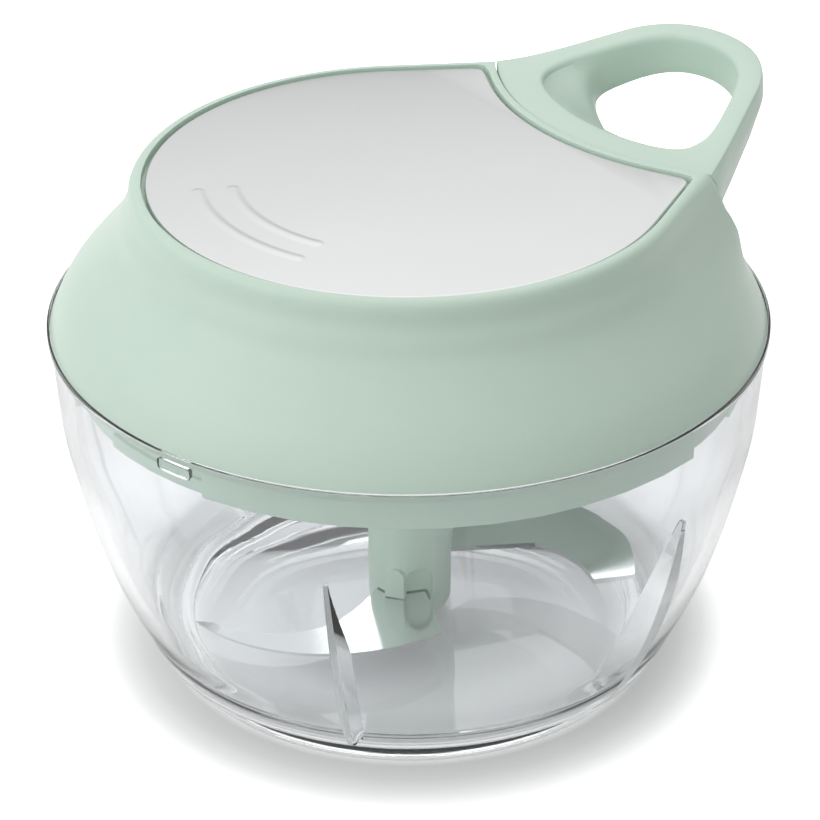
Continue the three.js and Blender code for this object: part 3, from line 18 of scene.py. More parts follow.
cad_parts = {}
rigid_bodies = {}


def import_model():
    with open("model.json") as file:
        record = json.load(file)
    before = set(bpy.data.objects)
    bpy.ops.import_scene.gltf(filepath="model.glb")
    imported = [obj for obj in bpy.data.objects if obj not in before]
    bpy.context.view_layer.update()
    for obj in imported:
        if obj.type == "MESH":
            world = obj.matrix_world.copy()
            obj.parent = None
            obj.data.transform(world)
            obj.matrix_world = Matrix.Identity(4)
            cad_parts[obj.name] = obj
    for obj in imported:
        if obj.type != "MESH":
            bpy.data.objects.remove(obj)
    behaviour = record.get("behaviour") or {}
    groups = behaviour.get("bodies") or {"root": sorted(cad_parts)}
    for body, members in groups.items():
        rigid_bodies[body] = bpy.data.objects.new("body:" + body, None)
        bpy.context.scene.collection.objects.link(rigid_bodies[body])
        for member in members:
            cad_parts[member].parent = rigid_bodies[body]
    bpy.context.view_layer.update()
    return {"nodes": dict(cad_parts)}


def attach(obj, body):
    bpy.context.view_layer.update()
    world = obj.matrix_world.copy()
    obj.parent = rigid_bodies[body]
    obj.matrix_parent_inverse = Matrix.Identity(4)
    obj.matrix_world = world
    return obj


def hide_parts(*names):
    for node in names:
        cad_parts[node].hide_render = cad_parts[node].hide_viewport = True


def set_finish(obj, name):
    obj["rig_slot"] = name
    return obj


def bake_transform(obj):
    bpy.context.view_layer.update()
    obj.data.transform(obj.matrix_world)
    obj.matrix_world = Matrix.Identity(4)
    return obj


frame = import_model()
print("pieces in the frame:", len(frame["nodes"]))

# %% [markdown]
# ## The camera
#
# The photograph looks down on the lid from about thirty degrees, with a long lens, so the
# bowl hardly narrows towards the back. The camera could be placed by eye, but here its
# place came from matching known points: the seam, the plate's edge and the handle's tip.

# %% Place the camera
MM = 0.001
AXIS_X = -5.35
CAMERA_PLACE = (-261.13, -362.6, 302.49)
CAMERA_TARGET = (AXIS_X, 0, 45)
CAMERA_ROLL = -0.274
CAMERA_LENS = 124.03
CAMERA_SHIFT = 0.0011

scene = bpy.context.scene
eye = Vector(CAMERA_PLACE) * MM
aim = Vector(CAMERA_TARGET) * MM - eye
camera = bpy.data.objects.new("photo_camera", bpy.data.cameras.new("photo_camera"))
camera.data.lens = CAMERA_LENS
camera.data.sensor_width = 36
camera.data.shift_x = CAMERA_SHIFT
camera.data.clip_start = 0.01
turned_to_target = aim.to_track_quat("-Z", "Y").to_matrix().to_4x4()
camera.matrix_world = (
    Matrix.Translation(eye) @ turned_to_target @ Matrix.Rotation(radians(CAMERA_ROLL), 4, "Z")
)
scene.collection.objects.link(camera)
scene.camera = camera
scene.view_settings.view_transform = "Standard"
print("camera stands", round(aim.length, 3), "m from the bowl")

# %% [markdown]
# ## Small helpers for shapes
#
# Most pieces are turned on a lathe or cut from a plan. A lathe turns a profile round the
# middle axis, which is what Blender's spin operator does. A plan becomes a plate when its
# face is extruded. Cuts and joins use the exact Boolean modifier on two closed shapes.

# %% Turned and cut shapes
SPIN_STEPS = 180


def chain(places, closed):
    """Vertices at the given places, joined by edges, also last to first when closed."""
    shape = bmesh.new()
    corners = [shape.verts.new(place) for place in places]
    pairs = list(zip(corners, corners[1:]))
    if closed:
        pairs.append((corners[-1], corners[0]))
    for pair in pairs:
        shape.edges.new(pair)
    return shape


def turned(profile, steps=SPIN_STEPS):
    """A profile of (radius, height) pairs, turned a full circle round the axis."""
    on_axis = profile[0][0] == 0 and profile[-1][0] == 0
    shape = chain([(radius, 0, height) for radius, height in profile], closed=not on_axis)
    bmesh.ops.spin(
        shape,
        geom=shape.verts[:] + shape.edges[:],
        cent=(0, 0, 0),
        axis=(0, 0, 1),
        angle=2 * pi,
        steps=steps,
        use_merge=True,
    )
    bmesh.ops.remove_doubles(shape, verts=shape.verts, dist=0.001)
    bmesh.ops.recalc_face_normals(shape, faces=shape.faces)
    return shape


def rod(radius, base, top, steps):
    """A plain rod on the middle axis, to join or to cut with."""
    return turned([(0, base), (radius, base), (radius, top), (0, top)], steps)


def plate_from(outline, base, top):
    """A flat outline made into a solid between two heights."""
    shape = chain([(x, y, base) for x, y in outline], closed=True)
    face = shape.faces.new(shape.verts)
    grown = bmesh.ops.extrude_face_region(shape, geom=[face], use_keep_orig=True)
    raised = [part for part in grown["geom"] if isinstance(part, bmesh.types.BMVert)]
    bmesh.ops.translate(shape, verts=raised, vec=(0, 0, top - base))
    bmesh.ops.recalc_face_normals(shape, faces=shape.faces)
    return shape


def skinned(rings, capped=False):
    """A skin over closed rings of places. Each ring is extruded from the one before it."""
    shape = bmesh.new()
    corners = bmesh.ops.create_circle(shape, segments=len(rings[0]), radius=1)["verts"]
    for corner, place in zip(corners, rings[0]):
        corner.co = place
    for places in rings[1:]:
        pairs = zip(corners, corners[1:] + corners[:1])
        bmesh.ops.extrude_edge_only(shape, edges=[shape.edges.get(pair) for pair in pairs])
        corners = [corner.link_edges[-1].other_vert(corner) for corner in corners]
        for corner, place in zip(corners, places):
            corner.co = place
    bmesh.ops.remove_doubles(shape, verts=shape.verts, dist=0.0005)
    if capped:
        bmesh.ops.holes_fill(shape, edges=shape.edges, sides=len(rings[0]))
    bmesh.ops.recalc_face_normals(shape, faces=shape.faces)
    return shape


def rotated(shape, angle, axis="Z"):
    """The shape, rotated by an angle in degrees round an axis through the origin."""
    rotation = Matrix.Rotation(radians(angle), 3, axis)
    bmesh.ops.rotate(shape, verts=shape.verts, cent=(0, 0, 0), matrix=rotation)
    return shape


def held(shape):
    """A temporary object that carries a bmesh for a Boolean modifier."""
    mesh = bpy.data.meshes.new("tool")
    shape.to_mesh(mesh)
    shape.free()
    holder = bpy.data.objects.new("tool", mesh)
    scene.collection.objects.link(holder)
    return holder


def combined(shape, operation, tools):
    """Joins closed shapes to a shape, or cuts them from it."""
    base = held(shape)
    holders = [held(tool) for tool in tools]
    for holder in holders:
        step = base.modifiers.new("step", "BOOLEAN")
        step.operation = operation
        step.solver = "EXACT"
        step.object = holder
    result = bmesh.new()
    result.from_object(base, bpy.context.evaluated_depsgraph_get())
    for holder in [base] + holders:
        bpy.data.meshes.remove(holder.data)
    bmesh.ops.remove_doubles(result, verts=result.verts, dist=0.002)
    return result


def soften(shape, width, sharper_than=35, segments=2, above=-inf):
    """Rounds every edge that is sharper than an angle and lies above a height."""
    limit = radians(sharper_than)
    sharp = [
        edge for edge in shape.edges
        if edge.is_manifold and edge.calc_face_angle(0) > limit and edge.verts[0].co.z > above
    ]
    bmesh.ops.bevel(
        shape,
        geom=sharp,
        offset=width,
        offset_type="OFFSET",
        affect="EDGES",
        segments=segments,
        profile=0.5,
        material=-1,
        clamp_overlap=True,
    )
    return shape


print("spin steps for each turned piece:", SPIN_STEPS)

# %% [markdown]
# ## From shape to finished piece
#
# A finished piece is an object at the origin with its place in its mesh. It rides on the
# body that moves it, stands for the engineering solids that it hides, and names the slot
# that gives it a finish. Smooth shading with marked sharp edges keeps creases crisp.

# %% Finish a piece


def make_piece(name, shape, body, slot, nodes, crease=32):
    """Turns a shape into an object in metres that rides, replaces its nodes and has a slot."""
    bmesh.ops.translate(shape, verts=shape.verts, vec=(AXIS_X, 0, 0))
    bmesh.ops.scale(shape, verts=shape.verts, vec=(MM, MM, MM))
    mesh = bpy.data.meshes.new(name)
    shape.to_mesh(mesh)
    shape.free()
    mesh.shade_smooth()
    mesh.set_sharp_from_angle(angle=radians(crease))
    piece = bpy.data.objects.new(name, mesh)
    scene.collection.objects.link(piece)
    if body:
        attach(piece, body)
    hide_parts(*nodes)
    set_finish(piece, slot)
    print(name, "has", len(mesh.polygons), "faces")
    return piece


def refined_copy(name, node, body, slot, edge):
    """A merged copy of an engineering solid with its flat faces whole and its edges soft."""
    shape = bmesh.new()
    shape.from_mesh(frame["nodes"][node].data)
    bmesh.ops.scale(shape, verts=shape.verts, vec=(1 / MM, 1 / MM, 1 / MM))
    bmesh.ops.translate(shape, verts=shape.verts, vec=(-AXIS_X, 0, 0))
    bmesh.ops.remove_doubles(shape, verts=shape.verts, dist=0.002)
    bmesh.ops.dissolve_limit(
        shape, angle_limit=radians(0.6), verts=shape.verts, edges=shape.edges
    )
    soften(shape, edge)
    make_piece(name, shape, body, slot, (node,))


print("each shape moves", AXIS_X, "mm along x to the frame's origin")

# %% [markdown]
# ## Smooth curves through a few points
#
# The bowl's wall and the lid's side are free curves. A few measured points carry them, and
# a Catmull-Rom curve, which passes through every point, gives as many places as needed.

# %% Curves


def blend_values(before, start, end, after, share):
    """One coordinate of a Catmull-Rom curve between start and end."""
    slope_in = (end - before) / 2
    slope_out = (after - start) / 2
    square = share * share
    cube = square * share
    return (
        (2 * start - 2 * end + slope_in + slope_out) * cube
        + (3 * end - 3 * start - 2 * slope_in - slope_out) * square
        + slope_in * share
        + start
    )


def smooth_curve(points, count):
    """count + 1 places, evenly shared out over a curve through the points."""
    last = len(points) - 1
    places = []
    for step in range(count + 1):
        along = step / count * last
        index = min(int(along), last - 1)
        near = [points[max(0, min(last, index + shift))] for shift in (-1, 0, 1, 2)]
        share = along - index
        places.append(tuple(blend_values(*values, share) for values in zip(*near)))
    return places


def ease(value, low, high):
    """0 below low, 1 above high, and a soft step between them."""
    share = max(0.0, min(1.0, (value - low) / (high - low)))
    return share * share * (3 - 2 * share)


def mix(start, end, share):
    """The value a share of the way from start to end."""
    return start + (end - start) * share


def arc(centre, radius, start, end, count):
    """Places along an arc, given in degrees."""
    turns = [radians(mix(start, end, step / count)) for step in range(count + 1)]
    return [(centre[0] + radius * cos(turn), centre[1] + radius * sin(turn)) for turn in turns]


def bent(start, bend, end, count):
    """Places on a curve that leaves its start and meets its end towards the bend."""
    places = []
    for step in range(count + 1):
        share = step / count
        weights = ((1 - share) ** 2, 2 * share * (1 - share), share**2)
        places.append(tuple(
            sum(weight * value for weight, value in zip(weights, values))
            for values in zip(start, bend, end)
        ))
    return places


print("a curve through three points:", smooth_curve([(0, 0), (1, 2), (2, 0)], 2))

# %% [markdown]
# ## The clear bowl's wall
#
# The bowl is injection moulded: a curved wall that narrows to a foot ring, with three faint
# rings in the corner of its floor. The outer wall is a curve through measured points, and
# the inner wall lies one wall thickness further in. One closed profile of both is spun
# round the axis. That gives a solid wall, and a skin without thickness would not refract.

# %% Bowl wall
BODY_RADIUS = 63.5
SEAM_HEIGHT = 66
BOWL_RIM = 65.93
BOWL_WALL = 2.4
FOOT_RADIUS = 45.5
FOOT_INNER = 42
FOOT_HEIGHT = 2
UNDERSIDE = 1.2
FLOOR_TOP = 4.2
FLOOR_RADIUS = 41
FLOOR_BEND = 4
WALL_START = 9.2
RING_SWELL = 0.3
BOWL_WALL_SHARES = [
    (0.033, 0.744), (0.076, 0.776), (0.152, 0.811), (0.242, 0.853), (0.364, 0.899),
    (0.515, 0.941), (0.697, 0.979), (0.848, 0.992), (1, 1),
]


def bowl_wall_curves():
    """The wall's outer curve, and its inner curve one wall thickness further in."""
    points = [(across * BODY_RADIUS, up * SEAM_HEIGHT) for up, across in BOWL_WALL_SHARES]
    points[-1] = (BODY_RADIUS, BOWL_RIM)
    outer = smooth_curve(points, 48)
    inner = []
    for before, place, after in zip(outer[:1] + outer, outer, outer[1:] + outer[-1:]):
        along = Vector(after) - Vector(before)
        inward = Vector((-along.y, along.x)).normalized() * BOWL_WALL
        inner.append((place[0] + inward.x, place[1] + inward.y))
    inner[-1] = (inner[-1][0], BOWL_RIM)
    return outer, [place for place in inner if place[1] > WALL_START]


def bowl_corner(inner):
    """The corner between the floor and the wall, with three low rings moulded into it."""
    start, bend, end = (FLOOR_RADIUS, FLOOR_TOP), (FLOOR_RADIUS + FLOOR_BEND, FLOOR_TOP), inner[0]
    places = []
    for step in range(1, 32):
        share = step / 32
        first = [mix(start[i], bend[i], share) for i in (0, 1)]
        second = [mix(bend[i], end[i], share) for i in (0, 1)]
        swell = RING_SWELL * (1 - cos(6 * pi * share)) * (1 - share)
        places.append((mix(first[0], second[0], share), mix(first[1], second[1], share) + swell))
    return [start] + places


outer_wall, inner_wall = bowl_wall_curves()
bowl_profile = [
    (0, UNDERSIDE), (FOOT_INNER, UNDERSIDE), (FOOT_INNER, 0), (FOOT_RADIUS, 0),
    (FOOT_RADIUS, FOOT_HEIGHT),
]
bowl_profile += outer_wall + inner_wall[::-1] + bowl_corner(inner_wall)[::-1] + [(0, FLOOR_TOP)]
bowl_shape = soften(turned(bowl_profile), 0.45, sharper_than=40)
print("places in the bowl's profile:", len(bowl_profile))

# %% [markdown]
# ## What is moulded to the wall
#
# Thin fins stop food from spinning along, three small lugs hold the lid, and a boss carries
# the blade pin. A narrow bead runs round the rim, and its lip stands a hair outside the
# lid's edge, where it catches the light. All of it is joined to the wall, because a ray of
# light must meet one closed skin. Two skins in one place would show as a seam.

# %% Bowl fins, lugs and bead
FIN_TOP = 48
FIN_INNER = 43
FIN_TAPER = 16
FIN_TURNS = (-138.4, -76, 43, 104)
FIN_SPREAD = 4.2
FIN_RIDGE = 0.35
LUG_TURNS = (-163.7, -43.7, 76.3)
LUG_BASE = 61.2
LUG_HEIGHT = 2.2
LUG_LENGTH = 7
LUG_DEPTH = 1.2
BOSS_RADIUS = 5.4
BOSS_TOP = 6.5
PIN_HOLE_RADIUS = 2.7
PIN_HOLE_BASE = 2.3
RIM_BEAD = 0.5
BEAD_LIP = 0.55
LIP_GAP = 0.06


def bowl_fin(inner, angle):
    """A fin that is steep on one side and slopes back into the wall on the other."""
    wall = [(FOOT_RADIUS, FLOOR_TOP - BOWL_WALL / 2)]
    wall += [place for place in inner if place[1] < FIN_TOP]
    ridge_top = wall[-1][0]
    rings = []
    for x, z in wall:
        ridge = mix(FIN_INNER, ridge_top, (z - FLOOR_TOP) / (FIN_TOP - FLOOR_TOP))
        root = max(x, ridge) + BOWL_WALL / 2
        spread = FIN_SPREAD * min(1, (FIN_TOP - z) / FIN_TAPER) + FIN_RIDGE
        across = ((root, -FIN_RIDGE), (root, spread), (ridge, FIN_RIDGE), (ridge, -FIN_RIDGE))
        rings.append([Vector((radius, side, z)) for radius, side in across])
    return rotated(skinned(rings, capped=True), angle)


def bowl_lug(wall_radius, angle):
    """A short rounded bar that stands in from the wall, just under the rim."""
    half = degrees(LUG_LENGTH / wall_radius) / 2
    outline = arc((0, 0), wall_radius + LUG_DEPTH, -half, half, 4)
    outline += arc((0, 0), wall_radius - LUG_DEPTH, half, -half, 4)
    lug = plate_from(outline, LUG_BASE, LUG_BASE + LUG_HEIGHT)
    soften(lug, 0.6, segments=3)
    return rotated(lug, angle)


def rim_bead():
    """The bead, rooted in the wall, with its lip up outside the lid's edge."""
    root, lip, edge = BODY_RADIUS - 1, BODY_RADIUS + LIP_GAP, BODY_RADIUS + RIM_BEAD
    bead = turned([
        (root, BOWL_RIM - 1.5), (edge, BOWL_RIM - 0.8), (edge, BOWL_RIM + BEAD_LIP),
        (lip, BOWL_RIM + BEAD_LIP), (lip, BOWL_RIM - 0.04), (root, BOWL_RIM - 0.04),
    ])
    return soften(bead, 0.12)


boss = rod(BOSS_RADIUS, FLOOR_TOP - 1, BOSS_TOP, 64)
pin_hole = rod(PIN_HOLE_RADIUS, PIN_HOLE_BASE, BOSS_TOP + 1.5, 48)
fins = [bowl_fin(inner_wall, angle) for angle in FIN_TURNS]
lugs = [bowl_lug(inner_wall[-1][0], angle) for angle in LUG_TURNS]
bowl_shape = combined(bowl_shape, "UNION", [boss, rim_bead()] + fins + lugs)
bowl_shape = combined(bowl_shape, "DIFFERENCE", [pin_hole])
make_piece("clear_bowl", bowl_shape, "bowl", "bowl_clear", ("bowl",))

# %% [markdown]
# ## The lid's side and rim
#
# Seen from above the lid is a circle, but near the handle its rim runs on in two straight
# tangents, like a drop of water. The side starts as a spun profile. Each vertex is then
# pushed out by an amount that grows with its height, which turns the circle into the drop.
# The plate and its seat follow the same drop, moved in, less a round bite for the handle.

# %% Lid outline
LID_TOP = 92.5
LIP_RADIUS = 48.4
EAR_TURN = radians(59)
EAR_LIMIT = radians(36)
EAR_MIDDLE = 0.35
EAR_BASE = 71
EAR_FULL = 85
EAR_SWELL = 0.45
DOCK_CENTRE = 83.8
DOCK_RADIUS = 52
DOCK_STRIP = 0.9
PLATE_CORNERS = 26
PLATE_STEPS = 240
LID_SHARES = [
    (0, 1), (0.113, 0.979), (0.226, 0.952), (0.34, 0.915), (0.49, 0.86), (0.64, 0.81),
    (0.755, 0.787), (0.849, 0.768), (0.943, 0.763), (1, 0.75),
]


def drop_radius(lip, angle):
    """The drop's radius at a turn: a circle, then the tangents to the handle."""
    away = abs(angle)
    return lip if away >= EAR_TURN else lip / cos(EAR_TURN - away)


def ear_offset(angle):
    """How far the lid's rim stands out from its circle. It falls back under the handle."""
    away = abs(angle)
    if away >= EAR_LIMIT:
        return drop_radius(LIP_RADIUS, angle) - LIP_RADIUS
    ear = LIP_RADIUS / cos(EAR_TURN - EAR_LIMIT) - LIP_RADIUS
    return ear * mix(EAR_MIDDLE, 1, away / EAR_LIMIT)


def ear_weight(height):
    """The share of that offset at a height. It is fullest a little below the rim."""
    below_rim = min(1, (LID_TOP - height) / 4)
    return ease(height, EAR_BASE, EAR_FULL) * (1 + EAR_SWELL * below_rim)


def lid_side(inset, count):
    """The side's profile from the seam to the rim, moved in by an inset."""
    rise = LID_TOP - SEAM_HEIGHT
    points = [(across * BODY_RADIUS - inset, SEAM_HEIGHT + up * rise) for up, across in LID_SHARES]
    return smooth_curve(points, count)


def soft_minimum(lengths, sharpness):
    """The smallest length, rounded off where two are nearly equal."""
    least = min(lengths)
    return least / sum((least / length) ** sharpness for length in lengths) ** (1 / sharpness)


def plate_outline(inset):
    """The plan of the plate: the drop moved in, with the handle's round bite taken out."""
    bite = DOCK_RADIUS + inset - DOCK_STRIP
    outline = []
    for step in range(PLATE_STEPS):
        angle = mix(-pi, pi, step / PLATE_STEPS)
        reach = bite**2 - (DOCK_CENTRE * sin(angle)) ** 2
        near = inf
        if cos(angle) > 0 and reach > 0:
            near = DOCK_CENTRE * cos(angle) - sqrt(reach)
        radius = soft_minimum([drop_radius(LIP_RADIUS - inset, angle), near], PLATE_CORNERS)
        outline.append((radius * cos(angle), radius * sin(angle)))
    return outline


print("the drop reaches", round(drop_radius(LIP_RADIUS, EAR_LIMIT), 1), "mm beside the handle")

# %% [markdown]
# ## The lid's shell
#
# The side is spun into a solid and stretched into the drop. Then four things are cut from
# it: the room inside, the dock for the handle, the plate's seat and the hole of the cord's
# eyelet. The room keeps one wall thickness from the outside and from the dock. Only edges
# above the seam are softened, because the lower edge has to meet the bowl's rim.

# %% Lid shell
RIM_ROUNDING = 1.5
RIM_LEAN = 0.3
DOCK_SWEEP = 80
DOCK_FLOOR = 81.7
COVER_WALL = 2.2
CEILING = 88.8
SEAT_INSET = 2.2
SEAT_FLOOR = 91
BELOW_LID = 65
ABOVE_LID = 94
EYELET_RADIUS = 2.3
CORD_HEIGHT = 85.5


def dock_block(margin, base, top):
    """The space past the docking arc, which the handle fills."""
    outline = arc(
        (DOCK_CENTRE, 0), DOCK_RADIUS + margin, 180 - DOCK_SWEEP, 180 + DOCK_SWEEP, 120
    )
    return plate_from(outline, base, top)


def lying_rod(radius, start, end, steps):
    """A rod along the pull, at the height of the cord."""
    lying = rotated(rod(radius, start, end, steps), 90, "Y")
    bmesh.ops.translate(lying, verts=lying.verts, vec=(0, 0, CORD_HEIGHT))
    return lying


side = [place for place in lid_side(0, 60) if place[1] < LID_TOP - RIM_ROUNDING]
lean_x = side[-1][0] - RIM_LEAN
side += bent(side[-1], (lean_x, LID_TOP), (lean_x - RIM_ROUNDING, LID_TOP), 7)[1:]
lid_solid = turned([(0, SEAM_HEIGHT)] + side + [(0, LID_TOP)])
for corner in lid_solid.verts:
    radius = hypot(corner.co.x, corner.co.y)
    if radius > LIP_RADIUS / 2:
        angle = atan2(corner.co.y, corner.co.x)
        grown = radius + ear_offset(angle) * ear_weight(corner.co.z)
        corner.co.x, corner.co.y = grown * cos(angle), grown * sin(angle)
inside = [place for place in lid_side(COVER_WALL, 40) if place[1] < CEILING]
room_profile = [(0, BELOW_LID), (inside[0][0], BELOW_LID)] + inside
room = turned(room_profile + [(inside[-1][0], CEILING), (0, CEILING)])
room = combined(room, "DIFFERENCE", [dock_block(COVER_WALL, DOCK_FLOOR - COVER_WALL, 100)])
dock = dock_block(0, DOCK_FLOOR, ABOVE_LID)
seat = plate_from(plate_outline(SEAT_INSET), SEAT_FLOOR, ABOVE_LID)
eyelet_hole = lying_rod(EYELET_RADIUS, 28, 34, 40)
lid_shape = combined(lid_solid, "DIFFERENCE", [room, dock, seat, eyelet_hole])
soften(lid_shape, 0.35, sharper_than=45, segments=3, above=SEAM_HEIGHT + 1)
make_piece("lid_shell", lid_shape, "lid", "mint_plastic", ("lid_cover",))

# %% [markdown]
# ## The steel plate
#
# A thin pressed sheet lies in the lid with a hair of air all round it, which reads as a
# dark line. Its edge is rolled over a little, so it gets a bevel of three segments. The two
# pressed arcs are bell-shaped in section. Each is spun through fifty degrees and closed
# with half a turn at both ends, so it flows out of the sheet without a step.

# %% Plate
PLATE_TOP = 92.2
PLATE_THICKNESS = 0.9
PLATE_INSET = 2.95
RIB_SINK = 0.004
RIB_RADII = (36.5, 30.5)
RIB_SPAN = 50
RIB_HALF_WIDTH = 1.5
RIB_PROUD = 0.3


def bell(centre, from_share, to_share, count):
    """Half or all of a bell-shaped section that stands on the plate."""
    places = []
    for step in range(count + 1):
        share = mix(from_share, to_share, step / count)
        lift = RIB_PROUD * (1 + cos(pi * share)) / 2
        places.append((centre + share * RIB_HALF_WIDTH, 0, PLATE_TOP + lift - RIB_SINK))
    return places


def spun_strip(places, centre, angle, steps):
    """An open chain of places, spun part of a circle round a centre."""
    shape = chain(places, closed=False)
    bmesh.ops.spin(
        shape,
        geom=shape.verts[:] + shape.edges[:],
        cent=centre,
        axis=(0, 0, 1),
        angle=radians(angle),
        steps=steps,
    )
    return shape


def added(shape, other):
    """Puts the other bmesh's faces into the shape."""
    mesh = bpy.data.meshes.new("part")
    other.to_mesh(mesh)
    other.free()
    shape.from_mesh(mesh)
    bpy.data.meshes.remove(mesh)
    return shape


def pressed_rib(radius):
    """One pressed arc with its two round ends, facing up."""
    start = 180 - RIB_SPAN / 2
    rib = rotated(spun_strip(bell(radius, -1, 1, 16), (0, 0, 0), RIB_SPAN, 48), start)
    for angle, way in ((start, -180), (start + RIB_SPAN, 180)):
        end = spun_strip(bell(radius, 0, 1, 8), (radius, 0, 0), way, 20)
        added(rib, rotated(end, angle))
    bmesh.ops.remove_doubles(rib, verts=rib.verts, dist=0.003)
    bmesh.ops.recalc_face_normals(rib, faces=rib.faces)
    if sum(face.normal.z for face in rib.faces) < 0:
        bmesh.ops.reverse_faces(rib, faces=rib.faces)
    return rib


plate_shape = plate_from(plate_outline(PLATE_INSET), PLATE_TOP - PLATE_THICKNESS, PLATE_TOP)
soften(plate_shape, 0.3, segments=3)
for radius in RIB_RADII:
    added(plate_shape, pressed_rib(radius))
make_piece("steel_plate", plate_shape, "lid", "plate_steel", ("top_plate",))

# %% [markdown]
# ## The pull handle seen from above
#
# The handle is a loop: flat where it lies in the lid, and rising to a rounded nose that a
# finger can hook. Seen from above, rays leave the middle of the nose in all directions.
# Along each ray the handle runs from its hole to its outer edge, and both follow simple
# lines: a circle round the dock's centre, the straight sides, and the nose.

# %% Handle plan
HANDLE_REACH = 74.2
HANDLE_GAP = 0.35
HANDLE_TIP_FLARE = 0.4
NOSE_BAR = 4.8
SIDE_BAR = 4.4
HOLE_CORNERS = 5
NOSE_CENTRE = (HANDLE_REACH - HANDLE_TIP_FLARE - LIP_RADIUS) / (1 - cos(EAR_TURN))
DOCK_NEAR = DOCK_CENTRE - DOCK_RADIUS


def to_circle(radius, angle):
    """How far a ray from the nose's centre runs to a circle round the dock's centre."""
    offset = DOCK_CENTRE - NOSE_CENTRE
    return offset * cos(angle) + sqrt(radius**2 - (offset * sin(angle)) ** 2)


def to_side(inset, angle):
    """How far the same ray runs to the straight side, moved in by an inset."""
    closing = cos(abs(angle) - EAR_TURN)
    distance = LIP_RADIUS - inset - NOSE_CENTRE * cos(EAR_TURN)
    return distance / closing if closing > 0 else inf


def outer_reach(angle):
    """How far the ray runs to the handle's outer edge."""
    if abs(angle) < EAR_TURN:
        return HANDLE_REACH - HANDLE_TIP_FLARE - NOSE_CENTRE
    return min(to_circle(DOCK_RADIUS - HANDLE_GAP, angle), to_side(0, angle))


def hole_reach(near_bar, angle):
    """How far the ray runs to the hole's edge, with the bar's width in the dock given."""
    tip = (HANDLE_REACH - NOSE_CENTRE - NOSE_BAR) / max(cos(angle), 0.01)
    near = to_circle(DOCK_RADIUS - near_bar, angle)
    return soft_minimum([near, to_side(SIDE_BAR, angle), tip], HOLE_CORNERS)


def corner_turn():
    """The turn at which the straight side meets the docking arc."""
    low, high = 0, pi / 2
    for _ in range(40):
        middle = (low + high) / 2
        on_arc = to_circle(DOCK_RADIUS - HANDLE_GAP, pi - middle) < to_side(0, pi - middle)
        low, high = (middle, high) if on_arc else (low, middle)
    return low


print("nose centre and dock edge, in mm:", round(NOSE_CENTRE, 2), round(DOCK_NEAR, 2))

# %% [markdown]
# ## The pull handle's section
#
# A section through the bar starts at its foot outside, goes up over a flared shoulder and
# the flat top, and comes down inside the hole, where it runs in under the bar so that a
# finger finds room. It changes from ray to ray, so each corner of the section is one closed
# loop of vertices, made as a circle and moved to its place. Each loop is extruded into the
# next, and the last meets the first, which closes the skin.

# %% Handle section
HANDLE_FLOOR = DOCK_FLOOR + 0.3
NOSE_RISE = 7.8
NOSE_FOOT_RISE = 8.5
NOSE_DEPTH = 6.9
DOCKED_BAR = 7.6
FINGER_ROOM = 18
SIDE_FLARE = 2.6
FOOT_TUCK = 1.5
INNER_ROUNDING = 1.2


def top_height(angle, reach):
    """The height of the handle's top face at a place on the ray."""
    return PLATE_TOP + NOSE_RISE * ease(NOSE_CENTRE + reach * cos(angle), 40, 76)


def in_dock(angle, reach, height):
    """A place on the ray, brought back to the docking arc where it would pass it."""
    x = NOSE_CENTRE + reach * cos(angle) - DOCK_CENTRE
    y = reach * sin(angle)
    scale = min(1, (DOCK_RADIUS - HANDLE_GAP) / hypot(x, y))
    return Vector((DOCK_CENTRE + x * scale, y * scale, height))


def handle_section(angle):
    """The places round the handle's bar where a ray at this angle crosses it."""
    outer = outer_reach(angle)
    inner = hole_reach(DOCKED_BAR, angle)
    foot = hole_reach(FINGER_ROOM, angle)
    outer_x, inner_x = (NOSE_CENTRE + reach * cos(angle) for reach in (outer, inner))
    top, inner_top = top_height(angle, outer), top_height(angle, inner)
    outer_foot = HANDLE_FLOOR + NOSE_FOOT_RISE * ease(outer_x, 46, 74)
    rising = sqrt(ease(inner_x, DOCK_NEAR + DOCKED_BAR, 74))
    inner_foot = mix(HANDLE_FLOOR, inner_top - NOSE_DEPTH, rising)
    docked = abs(angle) > pi - corner_turn()
    flare = 0 if docked else mix(SIDE_FLARE, HANDLE_TIP_FLARE, ease(outer_x, 40, NOSE_CENTRE))
    tuck = 0 if docked else FOOT_TUCK
    shoulder = max(top - 4, outer_foot + 0.5)
    places = [(outer + flare - tuck, outer_foot)]
    places += bent((outer + flare, shoulder), (outer + 0.6 * flare, top - 1), (outer, top - 0.4), 7)
    places += [(outer - 0.12, top - 0.12)]
    for share in (0.08, 0.4, 0.7):
        reach = mix(outer, inner, share)
        places.append((reach, top_height(angle, reach)))
    edge = inner + INNER_ROUNDING
    wall_start = (inner, inner_top - INNER_ROUNDING)
    under = (mix(inner, foot, 0.6), mix(inner_top, inner_foot, 0.5))
    places += bent((edge, top_height(angle, edge)), (inner, inner_top), wall_start, 4)
    places += bent(wall_start, under, (foot, inner_foot), 5)[1:]
    places += [(mix(foot, outer, 0.5), mix(inner_foot, outer_foot, 0.5))]
    return [in_dock(angle, reach, height) for reach, height in places]


def handle_turns():
    """The rays' turns: closely along the nose and sides, then along the docking arc."""
    corner = pi - corner_turn()
    sides = [mix(-corner, corner, step / 176) for step in range(177)]
    near = [mix(corner, 2 * pi - corner, step / 64) for step in range(1, 64)]
    return sides + [turn - 2 * pi if turn > pi else turn for turn in near]


sections = [handle_section(angle) for angle in handle_turns()]
rings = list(zip(*sections))
handle_shape = skinned(rings + rings[:1])
soften(handle_shape, 0.35, sharper_than=40)
print("rays round the handle:", len(sections), "with", len(rings), "places on each")

